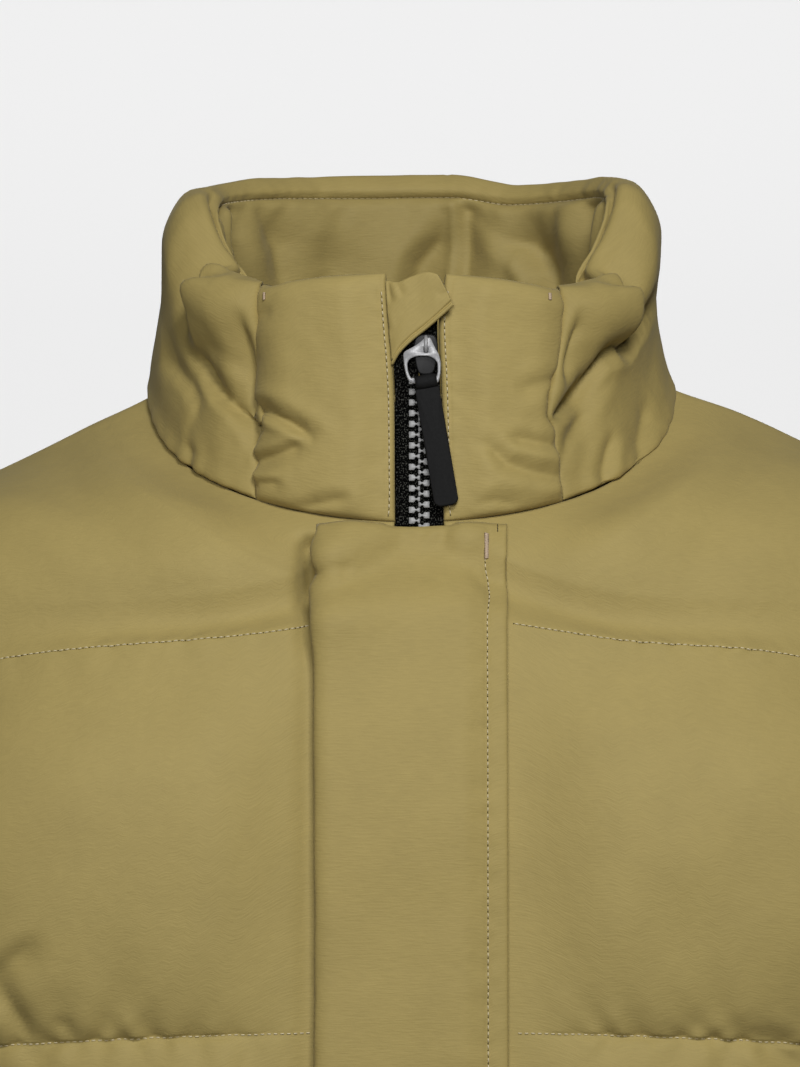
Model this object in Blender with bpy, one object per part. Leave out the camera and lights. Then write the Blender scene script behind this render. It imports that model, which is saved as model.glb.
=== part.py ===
"""Puffer parka, filled out as if worn, with nobody in it.

Metres, +Z up, the front towards -Y, so +X is the wearer's left. The origin is the middle of
the neck's base, level with the high shoulder points, where the garment hangs on its wearer.

Each cloth piece is a grid of points on its seam surface, the surface that the stitching lies
in. The wall's outer points are raised from it by the padding, its inner points lie one plain
seam wall behind it, and neighbours share the same points along a seam, each drawn back by
half the gap.
"""

import math

import bmesh
import bpy
import numpy as np

# Cloth
GAP = 0.0003
SEAM_WALL = 0.003
SET_IN_GAP = 0.0001
TAPE_WALL = 0.0009
PUFF = 0.013
PUFF_EDGE = 0.045
PUFF_ROUND = 0.62
NECK_PUFF_EDGE = 0.050

RIM_DIRECTION = np.array([1.0, 0.37, 0.61])

# Levels on the body: a whole number is the hem, a quilted seam or the shoulder seam
QUILT_PITCH = 0.1755
FIRST_QUILT = -0.101
UNDERARM = -0.314
UNDERARM_LEVEL = 2.79
SHOULDER_LEVEL = 5.0
ROWS_PER_CHANNEL = 5
COLUMNS_ACROSS = 10

# Neck ring
NECK_HALF_WIDTH = 0.1165
NECK_FRONT = 0.106
NECK_BACK = 0.105
NECK_DROP_FRONT = 0.057
NECK_DROP_BACK = 0.008
NECK_DROP_POWER = 0.9
NECK_FRONT_LEVEL = 4.2
NECK_BACK_LEVEL = 4.55
NECK_SEAM_ANGLE = -11.0
PANEL_SEAM_ANGLE = 56.4

# Armhole and sleeve, on the +X side, in width and height
SHOULDER_POINT = (0.243, -0.060)
UNDERARM_POINT = (0.250, UNDERARM)
ARMHOLE_DISH = 0.022
ARMHOLE_SEAM_ANGLE = -13.0
ARMHOLE_DISH_FADE = 0.07
ARMHOLE_RULES = 100.0
CUFF_TOP = (0.485, -0.632)
CUFF_BOTTOM = (0.370, -0.672)
SIDE_PUFF_EDGE = 0.075
FLAP_PUFF_EDGE = 0.035
UNDERARM_EASE = 0.11
SLEEVE_SWING = 0.045
SLEEVE_RINGS_PER_CHANNEL = 5
SLEEVE_QUILTS = (0.0, 0.24, 0.48, 0.73, 1.0)
SLEEVE_NEAR_ARMHOLE = (0.15, 0.45)
SLEEVE_INSIDE = (70.0, 150.0)
SLEEVE_INSIDE_THINNER = 0.75

# Zip, whose middle lies a little to the wearer's left of the garment's
ZIP_MIDDLE = 0.0031
ZIP_HALF_GAP = 0.0106
ZIP_TOP_RISE = 0.93
TAPE_DEPTH = 0.0022
CHAIN_WIDTH = 0.0082
CHAIN_WALL = 0.0021

# Slider and its pull, from the ring's hinge
HINGE_X = 0.0060
HINGE_HEIGHT = 0.0195
HINGE_OUT = 0.0021
SLIDER_WIDTH = 0.0106
SLIDER_LOW = 0.0130
SLIDER_HIGH = 0.0045
SLIDER_FRONT = 0.0030
SLIDER_BACK = 0.0008
SLIDER_ROUND = 0.0009
BAIL_WIDTH = 0.0024
BAIL_HALF_HEIGHT = 0.0044
BAIL_HALF_HOLLOW = 0.0026
BAIL_OUT = 0.0050
BAIL_HOLLOW_OUT = 0.0038
BAIL_SUNK = 0.0006
BAIL_SLANT = 0.001
RING_BAR = 0.0016
RING_LENGTH = 0.0177
RING_WIDE_AT = -0.0085
RING_HALF_WIDTH = 0.0080
RING_TOP_NARROWER = 0.0036
RING_FOOT_NARROWER = 0.0012
RING_SIDE = 0.0019
RING_POINTS = 32
PULL_TILT = 5.0
TAB_LEAN = 9.6
TAB_HALF_WIDTH = 0.0053
TAB_WALL = 0.0022
TAB_LENGTH = 0.0545
TAB_LOOP_HOLE = 0.0021
TAB_LOOP_WALL = 0.0010
TAB_LOOP_HALF_WIDTH = 0.0028
TAB_CORNER = 0.0030
TAB_CHAMFER = 0.0009
TAB_LOOP_SIDES = 20

# Cloth guard over the zip's top: the corners of its front, in width and height
GUARD_CORNERS = ((-0.0100, 0.0110), (0.0176, 0.0357), (0.0150, 0.0475), (-0.0118, 0.0465))
GUARD_WALL = 0.0020
GUARD_STANDS_OFF = 0.0070

# Storm flap, from its free edge to its seam
FLAP_FREE = -0.0400
FLAP_SEAM = 0.0405
FLAP_WALL = 0.0035
FLAP_PUFF = 0.0045
FLAP_CLEAR = 0.0009
FLAP_ROLL = 0.006
FLAP_TOP_LEVEL = 4.21
PLACKET = 0.047
PLACKET_LEAST_SHARE = 0.08


def table(columns, *rows):
    """A short table as arrays, one for each named column."""
    return dict(zip(columns.split(), np.array(rows, float).T))


BODY = table(
    "height front back half_width",
    (-0.806, 0.150, 0.142, 0.262),
    (-0.628, 0.151, 0.139, 0.255),
    (-0.452, 0.150, 0.138, 0.250),
    (-0.314, 0.150, 0.144, 0.250),
    (-0.200, 0.146, 0.147, 0.250),
    (-0.101, 0.127, 0.136, 0.250),
    (-0.057, 0.106, 0.122, 0.250),
    (-0.008, 0.106, 0.105, 0.250),
)
ARMHOLE_LEVELS = table(
    "level angle",
    (2.79, 180.0),
    (3.0, 142.0),
    (3.5, 98.0),
    (4.0, 66.0),
    (4.2, 55.0),
    (4.6, 24.0),
    (5.0, ARMHOLE_SEAM_ANGLE),
)
# How a row leaves the centre or the neckline, and how it arrives at the side or the armhole
ROW_REACH = table(
    "level leaving arriving",
    (0.00, 0.52, 0.32),
    (2.79, 0.52, 0.32),
    (3.50, 0.48, 0.32),
    (4.00, 0.42, 0.34),
    (4.20, 0.30, 0.34),
    (4.60, 0.30, 0.33),
    (5.00, 0.33, 0.33),
)
ROW_START_FRONT = table(
    "level outward forward down",
    (0.00, 1.00, 0.00, 0.00),
    (3.90, 1.00, 0.00, 0.00),
    (4.20, 0.74, 0.27, 0.60),
    (4.60, 0.68, 0.40, 0.58),
    (5.00, 0.90, 0.00, 0.44),
)
ROW_START_BACK = table(
    "level outward forward down",
    (0.00, 1.00, 0.00, 0.00),
    (4.55, 0.90, 0.30, 0.24),
    (4.70, 0.90, 0.24, 0.30),
    (4.85, 0.91, 0.10, 0.36),
    (5.00, 0.90, 0.00, 0.44),
)
ROW_END = table(
    "level outward backward down",
    (0.00, 0.00, 1.00, 0.00),
    (2.79, 0.00, 1.00, 0.00),
    (3.50, 0.45, 0.85, 0.03),
    (4.00, 0.74, 0.62, 0.22),
    (4.60, 0.90, 0.25, 0.34),
    (5.00, 0.91, 0.00, 0.42),
)
# The collar's top edge above the origin, by angle: 90 is the centre front, -90 the centre back
COLLAR_TOP = table(
    "angle height",
    (-90.0, 0.097),
    (-50.0, 0.094),
    (-20.0, 0.089),
    (5.0, 0.080),
    (25.0, 0.066),
    (42.0, 0.052),
    (56.4, 0.047),
    (90.0, 0.050),
)
# The collar's side wall, from the neckline up: how far its plain inside leans in, and its padding
COLLAR_SIDE = table(
    "rise lean padding",
    (0.00, 0.000, 0.000),
    (0.12, 0.010, 0.0095),
    (0.30, 0.019, 0.0175),
    (0.50, 0.0255, 0.0215),
    (0.75, 0.0280, 0.0205),
    (0.92, 0.0290, 0.0150),
    (1.00, 0.0270, 0.0060),
)
COLLAR_FRONT_LEAN = 0.010
COLLAR_FRONT_PADDING = 0.0055
COLLAR_RINGS = 8
LINING_WALL = 0.002
# The sleeve over and under the arm, from the armhole to the cuff: how far along the line
# under the arm each ring stands, and how deep the ring is from its middle to its front
SLEEVE = table(
    "along under_along depth",
    (0.00, 0.00, 0.085),
    (0.24, 0.08, 0.0875),
    (0.48, 0.34, 0.079),
    (0.73, 0.67, 0.068),
    (1.00, 1.00, 0.057),
)
OVER_ARM_HANDLES = np.array([(0.105, -0.052), (-0.036, 0.330)])
UNDER_ARM_HANDLES = np.array([(0.034, -0.105), (-0.030, 0.120)])
# Diagonal folds of the collar's sides: where each starts and ends, by angle and rise
COLLAR_FOLDS = table(
    "angle_from rise_from angle_to rise_to depth width",
    (15.0, 0.62, 52.0, 0.18, 0.0075, 0.013),
    (38.0, 0.66, 56.0, 0.40, 0.0050, 0.010),
    (-30.0, 0.70, 8.0, 0.25, 0.0050, 0.016),
    (-62.0, 0.60, -38.0, 0.30, 0.0040, 0.014),
)
# Low waves where the padding is drawn up by a quilted seam, by distance across and level
BODY_FOLD_SCALE = (0.36, 0.175)
BODY_FOLDS = table(
    "across_from level_from across_to level_to depth width",
    (0.62, 3.04, 0.80, 3.45, 0.0050, 0.07),
    (0.86, 2.95, 0.70, 2.60, 0.0045, 0.07),
    (0.40, 1.96, 0.52, 1.60, 0.0040, 0.06),
    (0.75, 2.04, 0.62, 2.36, 0.0040, 0.07),
    (0.55, 0.96, 0.68, 0.66, 0.0040, 0.06),
    (0.30, 1.04, 0.22, 1.34, 0.0035, 0.06),
)

# Colour, roughness and metallic value of each kind of piece
FINISHES = {
    "cloth": ((0.37, 0.30, 0.118), 0.75, 0.0),
    "tape": ((0.012, 0.012, 0.012), 0.80, 0.0),
    "teeth": ((0.40, 0.40, 0.40), 0.45, 0.0),
    "slider": ((0.020, 0.020, 0.020), 0.45, 0.6),
    "ring": ((0.62, 0.62, 0.62), 0.30, 1.0),
    "tab": ((0.020, 0.020, 0.020), 0.70, 0.0),
}


def clear_scene():
    for obj in list(bpy.data.objects):
        bpy.data.objects.remove(obj, do_unlink=True)


def material(name, finish):
    """A material of its own for one piece."""
    colour, roughness, metallic = FINISHES[finish]
    made = bpy.data.materials.new(name)
    made.use_nodes = True
    shader = made.node_tree.nodes["Principled BSDF"]
    shader.inputs["Base Color"].default_value = (*colour, 1.0)
    shader.inputs["Roughness"].default_value = roughness
    shader.inputs["Metallic"].default_value = metallic
    return made


def add_object(name, points, faces, finish):
    mesh = bpy.data.meshes.new(name)
    mesh.from_pydata(points.tolist(), [], faces)
    mesh.materials.append(material(name, finish))
    mesh.shade_smooth()
    mesh.set_sharp_from_angle(angle=math.radians(50))
    obj = bpy.data.objects.new(name, mesh)
    bpy.context.scene.collection.objects.link(obj)
    return obj


def smooth_curve(x, y, at):
    """A curve through the points (x, y) that never swings past them: cubic between each two,
    with a slope at each point that is the harmonic mean of the slopes on its two sides."""
    step = np.diff(x)
    slope = np.diff(y) / step
    tangent = np.zeros(len(x))
    same_way = slope[:-1] * slope[1:] > 0
    mean = 2 * slope[:-1] * slope[1:] / np.where(same_way, slope[:-1] + slope[1:], 1)
    tangent[1:-1] = np.where(same_way, mean, 0)
    tangent[0], tangent[-1] = slope[0], slope[-1]
    at = np.clip(at, x[0], x[-1])
    k = np.clip(np.searchsorted(x, at, side="right") - 1, 0, len(x) - 2)
    t = (at - x[k]) / step[k]
    start = (1 + 2 * t) * (1 - t) ** 2 * y[k] + t * (1 - t) ** 2 * step[k] * tangent[k]
    end = t**2 * (3 - 2 * t) * y[k + 1] - t**2 * (1 - t) * step[k] * tangent[k + 1]
    return start + end


def read(source, column, at, by):
    return smooth_curve(source[by], source[column], at)


def unit(vectors):
    return vectors / np.maximum(np.linalg.norm(vectors, axis=-1, keepdims=True), 1e-12)


def ease(low, high, value):
    t = np.clip((value - low) / (high - low), 0, 1)
    return t * t * (3 - 2 * t)


def neck_point(angle):
    """A point of the neckline: an oval in plan, lowest at the centre front (angle 90)."""
    turn = np.radians(angle)
    front = np.sin(turn) > 0
    depth = np.where(front, NECK_FRONT, NECK_BACK)
    drop = np.where(front, NECK_DROP_FRONT, NECK_DROP_BACK)
    height = -drop * np.abs(np.sin(turn)) ** np.where(front, NECK_DROP_POWER, 2.0)
    return np.stack(
        [NECK_HALF_WIDTH * np.cos(turn), -depth * np.sin(turn), height], axis=-1
    )


def sleeve_point(angle, along):
    """A point of the sleeve's seam surface. Each ring hangs between the line over the arm and
    the line under it: angle 0 is over the arm, 90 the front, 180 under the arm."""
    along, angle = np.broadcast_arrays(np.asarray(along, float), np.asarray(angle, float))
    over = arm_line(SHOULDER_POINT, CUFF_TOP, OVER_ARM_HANDLES, along)
    under_along = read(SLEEVE, "under_along", along, "along")
    under = arm_line(UNDERARM_POINT, CUFF_BOTTOM, UNDER_ARM_HANDLES, under_along)
    turn = np.radians(angle)[..., None]
    middle = (over + under) / 2
    half = (over - under) / 2
    depth = read(SLEEVE, "depth", along, "along")[..., None]
    dish = ARMHOLE_DISH * (1 - ease(0, ARMHOLE_DISH_FADE, along))[..., None]
    outward = unit(np.stack([half[..., 2], 0 * along, -half[..., 0]], axis=-1))
    across = np.array([0.0, -1.0, 0.0])
    ring = middle + half * np.cos(turn) + across * depth * np.sin(turn)
    ring = ring - outward * dish * np.sin(turn) ** 2
    ring[..., 1] -= SLEEVE_SWING * along**2
    return ring


def armhole_outward(points):
    """Away from the armhole's middle in its own plane, square to its oval."""
    shoulder, underarm = SHOULDER_POINT[1], UNDERARM_POINT[1]
    half_height, middle = (shoulder - underarm) / 2, (shoulder + underarm) / 2
    across = points[..., 1] / SLEEVE["depth"][0] ** 2
    up = (points[..., 2] - middle) / half_height**2
    return unit(np.stack([0 * up, across, up], axis=-1))


def arm_line(start, end, handles, along):
    """The line over or under the arm, from the armhole to the cuff, as a cubic Bezier curve."""
    start, end = np.array(start), np.array(end)
    flat = bezier(start, start + handles[0], end + handles[1], end, along[..., None])
    return np.stack([flat[..., 0], 0 * along, flat[..., 1]], axis=-1)


def bezier(start, leave, arrive, end, t):
    s = 1 - t
    return s**3 * start + 3 * s**2 * t * leave + 3 * s * t**2 * arrive + t**3 * end


def centre_height(level, neck_level, neck_height):
    """The height of the centre line at a level: the quilted seams are evenly spaced, and the
    last stretch runs from the first of them up to the neckline."""
    hem = FIRST_QUILT - 4 * QUILT_PITCH
    return np.interp(level, [0, 4, neck_level], [hem, FIRST_QUILT, neck_height])


def torso_point(across, level, front, edge=0.0):
    """A point of the body's seam surface on the +X side. Each row is a cubic Bezier curve from
    the centre line or the neckline to the side seam or the armhole."""
    across, level = np.broadcast_arrays(np.asarray(across, float), np.asarray(level, float))
    way = -1.0 if front else 1.0
    neck_level = NECK_FRONT_LEVEL if front else NECK_BACK_LEVEL
    corner = math.degrees(math.acos(edge / NECK_HALF_WIDTH)) * -way
    neck_height = neck_point(np.array(corner))[2]
    height = centre_height(level, neck_level, neck_height)
    depth = read(BODY, "front" if front else "back", height, "height")
    corner_depth = abs(neck_point(np.array(corner))[1])
    depth = depth + (corner_depth - depth) * ease(4.0, neck_level, level)
    centre = np.stack([np.full(level.shape, edge), way * depth, height], axis=-1)
    angle = np.interp(level, [neck_level, SHOULDER_LEVEL], [corner, NECK_SEAM_ANGLE])
    on_neck = (level > neck_level)[..., None]
    start = np.where(on_neck, neck_point(angle), centre)

    side_height = centre_height(np.minimum(level, UNDERARM_LEVEL), 4.5, FIRST_QUILT)
    side = np.stack(
        [read(BODY, "half_width", side_height, "height"), 0 * level, side_height], axis=-1
    )
    loop = read(ARMHOLE_LEVELS, "angle", level, "level")
    if not front:
        loop = armhole_back_angle(loop)
    end = np.where((level > UNDERARM_LEVEL)[..., None], sleeve_point(loop, 0.0), side)

    leave = direction(ROW_START_FRONT if front else ROW_START_BACK, "forward", way, level)
    arrive = direction(ROW_END, "backward", -way, level)
    chord = np.linalg.norm(end - start, axis=-1, keepdims=True)
    reach_out = read(ROW_REACH, "leaving", level, "level")[..., None] * chord
    reach_in = read(ROW_REACH, "arriving", level, "level")[..., None] * chord
    return bezier(
        start, start + leave * reach_out, end - arrive * reach_in, end, across[..., None]
    )


def direction(source, depth_column, way, level):
    """The direction that a table gives at a level: outward, towards the front or back, down."""
    parts = [read(source, name, level, "level") for name in ("outward", depth_column, "down")]
    return unit(np.stack([parts[0], way * parts[1], -parts[2]], axis=-1))


def armhole_back_angle(front_angle):
    """The back's share of the armhole: from under the arm round the back to the same seam."""
    share = (180 - front_angle) / (180 - ARMHOLE_SEAM_ANGLE)
    return -180 + share * (180 + ARMHOLE_SEAM_ANGLE)


def collar_point(angle, rise):
    """A point of the collar's seam surface: above the neckline, leaning in as it rises."""
    angle, rise = np.broadcast_arrays(np.asarray(angle, float), np.asarray(rise, float))
    base = neck_point(angle)
    turn = np.radians(angle)
    padded = 1 - ease(46, 64, angle)
    inward = unit(np.stack([-np.cos(turn) * padded, np.sin(turn), 0 * turn], axis=-1))
    lean = padded * read(COLLAR_SIDE, "lean", rise, "rise")
    lean = lean + (1 - padded) * COLLAR_FRONT_LEAN * rise
    point = base + inward * lean[..., None]
    top = smooth_curve(COLLAR_TOP["angle"], COLLAR_TOP["height"], angle)
    point[..., 2] = base[..., 2] + (top - base[..., 2]) * rise
    return point


def grid_normals(points, closed=False):
    """Unit normals of a grid from the differences to its neighbours, along and across."""
    if closed:
        around = np.roll(points, -1, axis=0) - np.roll(points, 1, axis=0)
    else:
        around = np.gradient(points, axis=0)
    return unit(np.cross(around, np.gradient(points, axis=1)))


def folds(source, across, up, kind):
    """How deep the folds of a table are at (across, up): each is a straight trough whose
    depth falls off with distance from its line as a bell curve."""
    names = (f"{kind[0]}_from", f"{kind[1]}_from", f"{kind[0]}_to", f"{kind[1]}_to")
    depth = np.zeros(np.shape(across))
    scale = kind[2]
    for a0, b0, a1, b1, deep, width in zip(
        *(source[name] for name in (*names, "depth", "width"))
    ):
        line = np.array([(a1 - a0) * scale[0], (b1 - b0) * scale[1]])
        from_start = np.stack([(across - a0) * scale[0], (up - b0) * scale[1]], axis=-1)
        t = np.clip(from_start @ line / (line @ line), 0, 1)
        off = np.linalg.norm(from_start - t[..., None] * line, axis=-1)
        depth = depth + deep * np.exp(-((off / width) ** 2))
    return depth


def channel_puff(level):
    """Padding between quilted seams: nothing on a seam, full in the middle of a channel."""
    return np.abs(np.sin(np.pi * level)) ** PUFF_ROUND


def distance_in(points, axis):
    """Distance along the grid from each of the two edges, measured over the surface."""
    steps = np.linalg.norm(np.diff(points, axis=axis), axis=-1)
    run = np.cumsum(steps, axis=axis)
    start = np.zeros_like(np.take(run, [0], axis=axis))
    run = np.concatenate([start, run], axis=axis)
    return run, np.take(run, [-1], axis=axis) - run


def edge_fade(distance, width=PUFF_EDGE):
    """Rises from nothing at a seam to full, as a cushion's round edge does."""
    t = np.clip(distance / width, 0, 1)
    return np.sqrt(1 - (1 - t) ** 2)


def join_pieces(pieces):
    """Settles the points that pieces share. All of them take the mean normal there, so that
    their walls meet face to face, and each piece draws back by half the gap, away from the
    way into its neighbours."""
    points = np.concatenate([piece["points"].reshape(-1, 3) for piece in pieces])
    normals = np.concatenate([piece["normals"].reshape(-1, 3) for piece in pieces])
    inward = np.concatenate([way_in(piece).reshape(-1, 3) for piece in pieces])
    names = sorted({piece["name"] for piece in pieces})
    owner = np.concatenate(
        [np.full(piece["points"][..., 0].size, names.index(piece["name"])) for piece in pieces]
    )
    _, place = np.unique(np.round(points * 1e5), axis=0, return_inverse=True)
    place = place.reshape(-1)
    mean = np.zeros((place.max() + 1, 3))
    np.add.at(mean, place, normals)
    own = np.zeros((place.max() + 1, len(names), 3))
    np.add.at(own, (place, owner), inward)
    own = unit(own)
    here = own[place, owner]
    others = unit(own.sum(axis=1)[place] - here)
    shared = (np.linalg.norm(own, axis=-1) > 0.5).sum(axis=1)[place] > 1
    set_in = np.array([name.startswith(("collar", "sleeve")) for name in names])[owner]
    back_off = GAP / 2 + np.where(set_in, SET_IN_GAP, 0)
    draw = np.where(shared[:, None], unit(here - others) * back_off[:, None], 0)
    start = 0
    for piece in pieces:
        shape = piece["points"].shape
        part = np.s_[start : start + shape[0] * shape[1]]
        piece["normals"] = unit(mean[place[part]]).reshape(shape)
        piece["points"] = piece["points"] + draw[part].reshape(shape)
        start += shape[0] * shape[1]


def way_in(piece):
    """At each point on a grid's edge, the direction into the piece."""
    points = piece["points"]
    way = np.zeros_like(points)
    if not piece["closed"]:
        way[0] += unit(points[1] - points[0])
        way[-1] += unit(points[-2] - points[-1])
    way[:, 0] += unit(points[:, 1] - points[:, 0])
    way[:, -1] += unit(points[:, -2] - points[:, -1])
    return unit(way)


def piece_of(name, points, padding, closed=False):
    """One grid of a cloth piece, its columns along the first axis and its rows upwards."""
    return {
        "name": name,
        "points": points,
        "normals": grid_normals(points, closed),
        "padding": padding,
        "closed": closed,
    }


def grid_faces(count_u, count_v, closed):
    """The quads of a grid, each turned so that it faces the same way as the normals."""
    index = np.arange(count_u * count_v).reshape(count_u, count_v)
    if closed:
        index = np.concatenate([index, index[:1]])
    corners = [index[:-1, :-1], index[1:, :-1], index[1:, 1:], index[:-1, 1:]]
    return np.stack(corners, axis=-1).reshape(-1, 4)


def welded(points, faces):
    """Makes points at one place one point: returns which points are kept, and the faces."""
    _, first, place = np.unique(
        np.round(points * 1e6), axis=0, return_index=True, return_inverse=True
    )
    return first, place.reshape(-1)[faces]


def wall(name, outer, inner, faces, finish):
    """A closed wall: the outer skin, the inner skin turned round, and a rim on every edge
    that only one face of a skin has. Each step of a rim is cut into triangles the same way
    as its neighbour's, from the end that lies lower along one slanting direction."""
    count = len(outer)
    along = outer @ RIM_DIRECTION
    ends = {(a, b) for face in faces.tolist() for a, b in zip(face, face[1:] + face[:1])}
    rim = []
    for a, b in sorted(ends):
        if (b, a) in ends:
            continue
        if along[a] < along[b]:
            rim += [(a, a + count, b + count), (a, b + count, b)]
        else:
            rim += [(b, a, a + count), (b, a + count, b + count)]
    both = faces.tolist() + (faces[:, [0, 3, 2, 1]] + count).tolist() + rim
    add_object(name, np.concatenate([outer, inner]), both, finish)


def wall_of(pieces):
    """The wall of one cloth piece, made of one grid or of several that share points."""
    points, normals, padding, faces = [], [], [], []
    start = 0
    for piece in pieces:
        shape = piece["points"].shape
        points.append(piece["points"].reshape(-1, 3))
        normals.append(piece["normals"].reshape(-1, 3))
        padding.append(np.broadcast_to(piece["padding"], shape[:2]).reshape(-1, 1))
        faces.append(grid_faces(shape[0], shape[1], piece["closed"]) + start)
        start += shape[0] * shape[1]
    points, normals, padding = (np.concatenate(group) for group in (points, normals, padding))
    kept, faces = welded(points, np.concatenate(faces))
    outer = points + normals * padding
    inner = points - normals * SEAM_WALL
    wall(pieces[0]["name"], outer[kept], inner[kept], faces, "cloth")


def flipped(points):
    """The same grid on the wearer's other side, turned round so that it still faces out."""
    return (points * [-1.0, 1.0, 1.0])[::-1]


def neck_level(angle, corner, first_level):
    """The level whose row starts at this angle of the neckline."""
    share = (corner - angle) / (corner - NECK_SEAM_ANGLE)
    return first_level + share * (SHOULDER_LEVEL - first_level)


def body_levels():
    """Rows from the hem to the first quilted seam, with one at each seam and the underarm."""
    low = np.arange(0, 2, 1 / ROWS_PER_CHANNEL)
    chest = np.linspace(2, UNDERARM_LEVEL, ROWS_PER_CHANNEL - 1)
    arm = np.array([2.86, 2.93])
    return np.concatenate([low, chest, arm, np.linspace(3, 4, ROWS_PER_CHANNEL + 1)])


def corner_angle(edge):
    return math.degrees(math.acos(edge / NECK_HALF_WIDTH))


def front_levels(edge):
    """The front's rows, with one at the neckline's corner and one at the collar's own seam."""
    seam = neck_level(PANEL_SEAM_ANGLE, corner_angle(edge), NECK_FRONT_LEVEL)
    neck = [4.1, NECK_FRONT_LEVEL, (NECK_FRONT_LEVEL + seam) / 2]
    top = np.linspace(seam, SHOULDER_LEVEL, ROWS_PER_CHANNEL + 1)
    return np.concatenate([body_levels(), neck, top])


def back_levels():
    neck = np.linspace(4, NECK_BACK_LEVEL, 4)[1:]
    top = np.linspace(NECK_BACK_LEVEL, SHOULDER_LEVEL, ROWS_PER_CHANNEL)[1:]
    return np.concatenate([body_levels(), neck, top])


def front_across(levels, edge):
    """Where a front's columns cross each row: one at the zip, one at the placket's edge, and
    the rest evenly spaced from there to the side."""
    fine = np.linspace(0, 1, 101)
    x = torso_point(fine[:, None], levels[None, :], True, edge)[..., 0]
    placket = np.array([np.interp(PLACKET, row, fine) for row in x.T])
    placket = np.maximum(placket, PLACKET_LEAST_SHARE)
    even = np.linspace(0, 1, COLUMNS_ACROSS)[:, None]
    return np.concatenate([0 * placket[None, :], placket + (1 - placket) * even])


def front_grid(edge):
    levels = front_levels(edge)
    return torso_point(front_across(levels, edge), levels[None, :], True, edge)


def padding_of(points, across, levels, way):
    """The padding of half the body: by channel, thinning at every seam."""
    to_side = distance_in(points, 0)[1]
    fade = side_fade(points, to_side, levels) * neck_fade(points, way)
    dent = folds(BODY_FOLDS, across, 0 * across + levels, ("across", "level", BODY_FOLD_SCALE))
    return np.maximum(PUFF * channel_puff(levels)[None, :] - dent, 0) * fade


def front_padding(points, edge):
    """The front's padding, which is none under the storm flap."""
    levels = front_levels(edge)
    clear_of_flap = ease(PLACKET, PLACKET + FLAP_PUFF_EDGE, np.abs(points[..., 0]))
    return padding_of(points, front_across(levels, edge), levels, 1) * clear_of_flap


def nearest(points, line):
    """The distance of each point of a grid from a line given by close points."""
    return np.linalg.norm(points[:, :, None, :] - line[None, None], axis=-1).min(axis=-1)


def neck_fade(points, way):
    """Padding thins gently towards the neckline, where the collar bulges over it."""
    line = neck_point(np.linspace(0, 180, 73) * way)
    return ease(0, NECK_PUFF_EDGE, nearest(points, line))


def side_fade(points, to_side, levels):
    """Padding thins towards the side seam and the armhole, and more slowly under the arm,
    where the sleeve hangs beside it."""
    to_armhole = nearest(points, sleeve_point(np.linspace(-180, 180, 73), 0.0))
    under_arm = 1 - ease(3.0, 3.4, levels)[None, :]
    fade = edge_fade(to_armhole) * (1 - under_arm) + ease(0, UNDERARM_EASE, to_armhole) * under_arm
    return fade * np.where(levels < UNDERARM_LEVEL, edge_fade(to_side, SIDE_PUFF_EDGE), 1)


def back_across():
    """The back's columns, which at the shoulder seam are the front's."""
    even = np.linspace(0, 1, COLUMNS_ACROSS)
    share = PLACKET_LEAST_SHARE
    return np.concatenate([[0.0], share + (1 - share) * even])[:, None]


def back_grid():
    return torso_point(back_across(), back_levels()[None, :], False)


def back_padding(points):
    levels = back_levels()
    return padding_of(points, back_across() + 0 * levels[None, :], levels, -1)


def sleeve_angles(edge):
    """The sleeve's ring, point for point the armhole's: the front's rows, then the back's."""
    levels = front_levels(edge)
    levels = levels[levels >= UNDERARM_LEVEL]
    front = read(ARMHOLE_LEVELS, "angle", levels, "level")[::-1]
    levels = back_levels()
    levels = levels[levels > UNDERARM_LEVEL][:-1]
    back = armhole_back_angle(read(ARMHOLE_LEVELS, "angle", levels, "level"))
    return np.concatenate([front, back])


def sleeve_rings():
    channels = zip(SLEEVE_QUILTS, SLEEVE_QUILTS[1:])
    rings = [np.linspace(a, b, SLEEVE_RINGS_PER_CHANNEL, endpoint=False) for a, b in channels]
    return np.concatenate([*rings, [1.0]])


def sleeve_grid(edge):
    return sleeve_point(sleeve_angles(edge)[:, None], sleeve_rings()[None, :])


def sleeve_padding(edge):
    channel = np.interp(sleeve_rings(), SLEEVE_QUILTS, range(len(SLEEVE_QUILTS)))
    angles = sleeve_angles(edge)
    from_seam = np.radians(180 - np.abs(angles)) * SLEEVE["depth"][2]
    inside = ease(*SLEEVE_INSIDE, np.abs(angles))[:, None]
    near_body = 1 - ease(*SLEEVE_NEAR_ARMHOLE, sleeve_rings())[None, :]
    fade = edge_fade(from_seam, SIDE_PUFF_EDGE)[:, None]
    fade = fade * (1 - SLEEVE_INSIDE_THINNER * inside * near_body)
    return PUFF * channel_puff(channel)[None, :] * fade


def collar_angles():
    """Round the neck from the wearer's left collar seam by the back to the right one."""
    front = np.linspace(PANEL_SEAM_ANGLE, NECK_SEAM_ANGLE, ROWS_PER_CHANNEL + 1)
    return np.concatenate([front, np.linspace(NECK_SEAM_ANGLE, -90, ROWS_PER_CHANNEL)[1:]])


def collar_padding(angle, rise):
    """The padding of the collar's sides and back, less its diagonal folds."""
    angle, rise = np.broadcast_arrays(np.asarray(angle, float), np.asarray(rise, float))
    from_seam = np.radians(PANEL_SEAM_ANGLE - angle) * NECK_HALF_WIDTH
    full = read(COLLAR_SIDE, "padding", rise, "rise")
    dent = folds(COLLAR_FOLDS, angle, rise, ("angle", "rise", (0.0019, 0.11)))
    fade = edge_fade(from_seam, 0.024)
    return np.maximum(full * (0.30 + 0.70 * fade) * (from_seam > 0) - dent * fade, 0)


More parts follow.
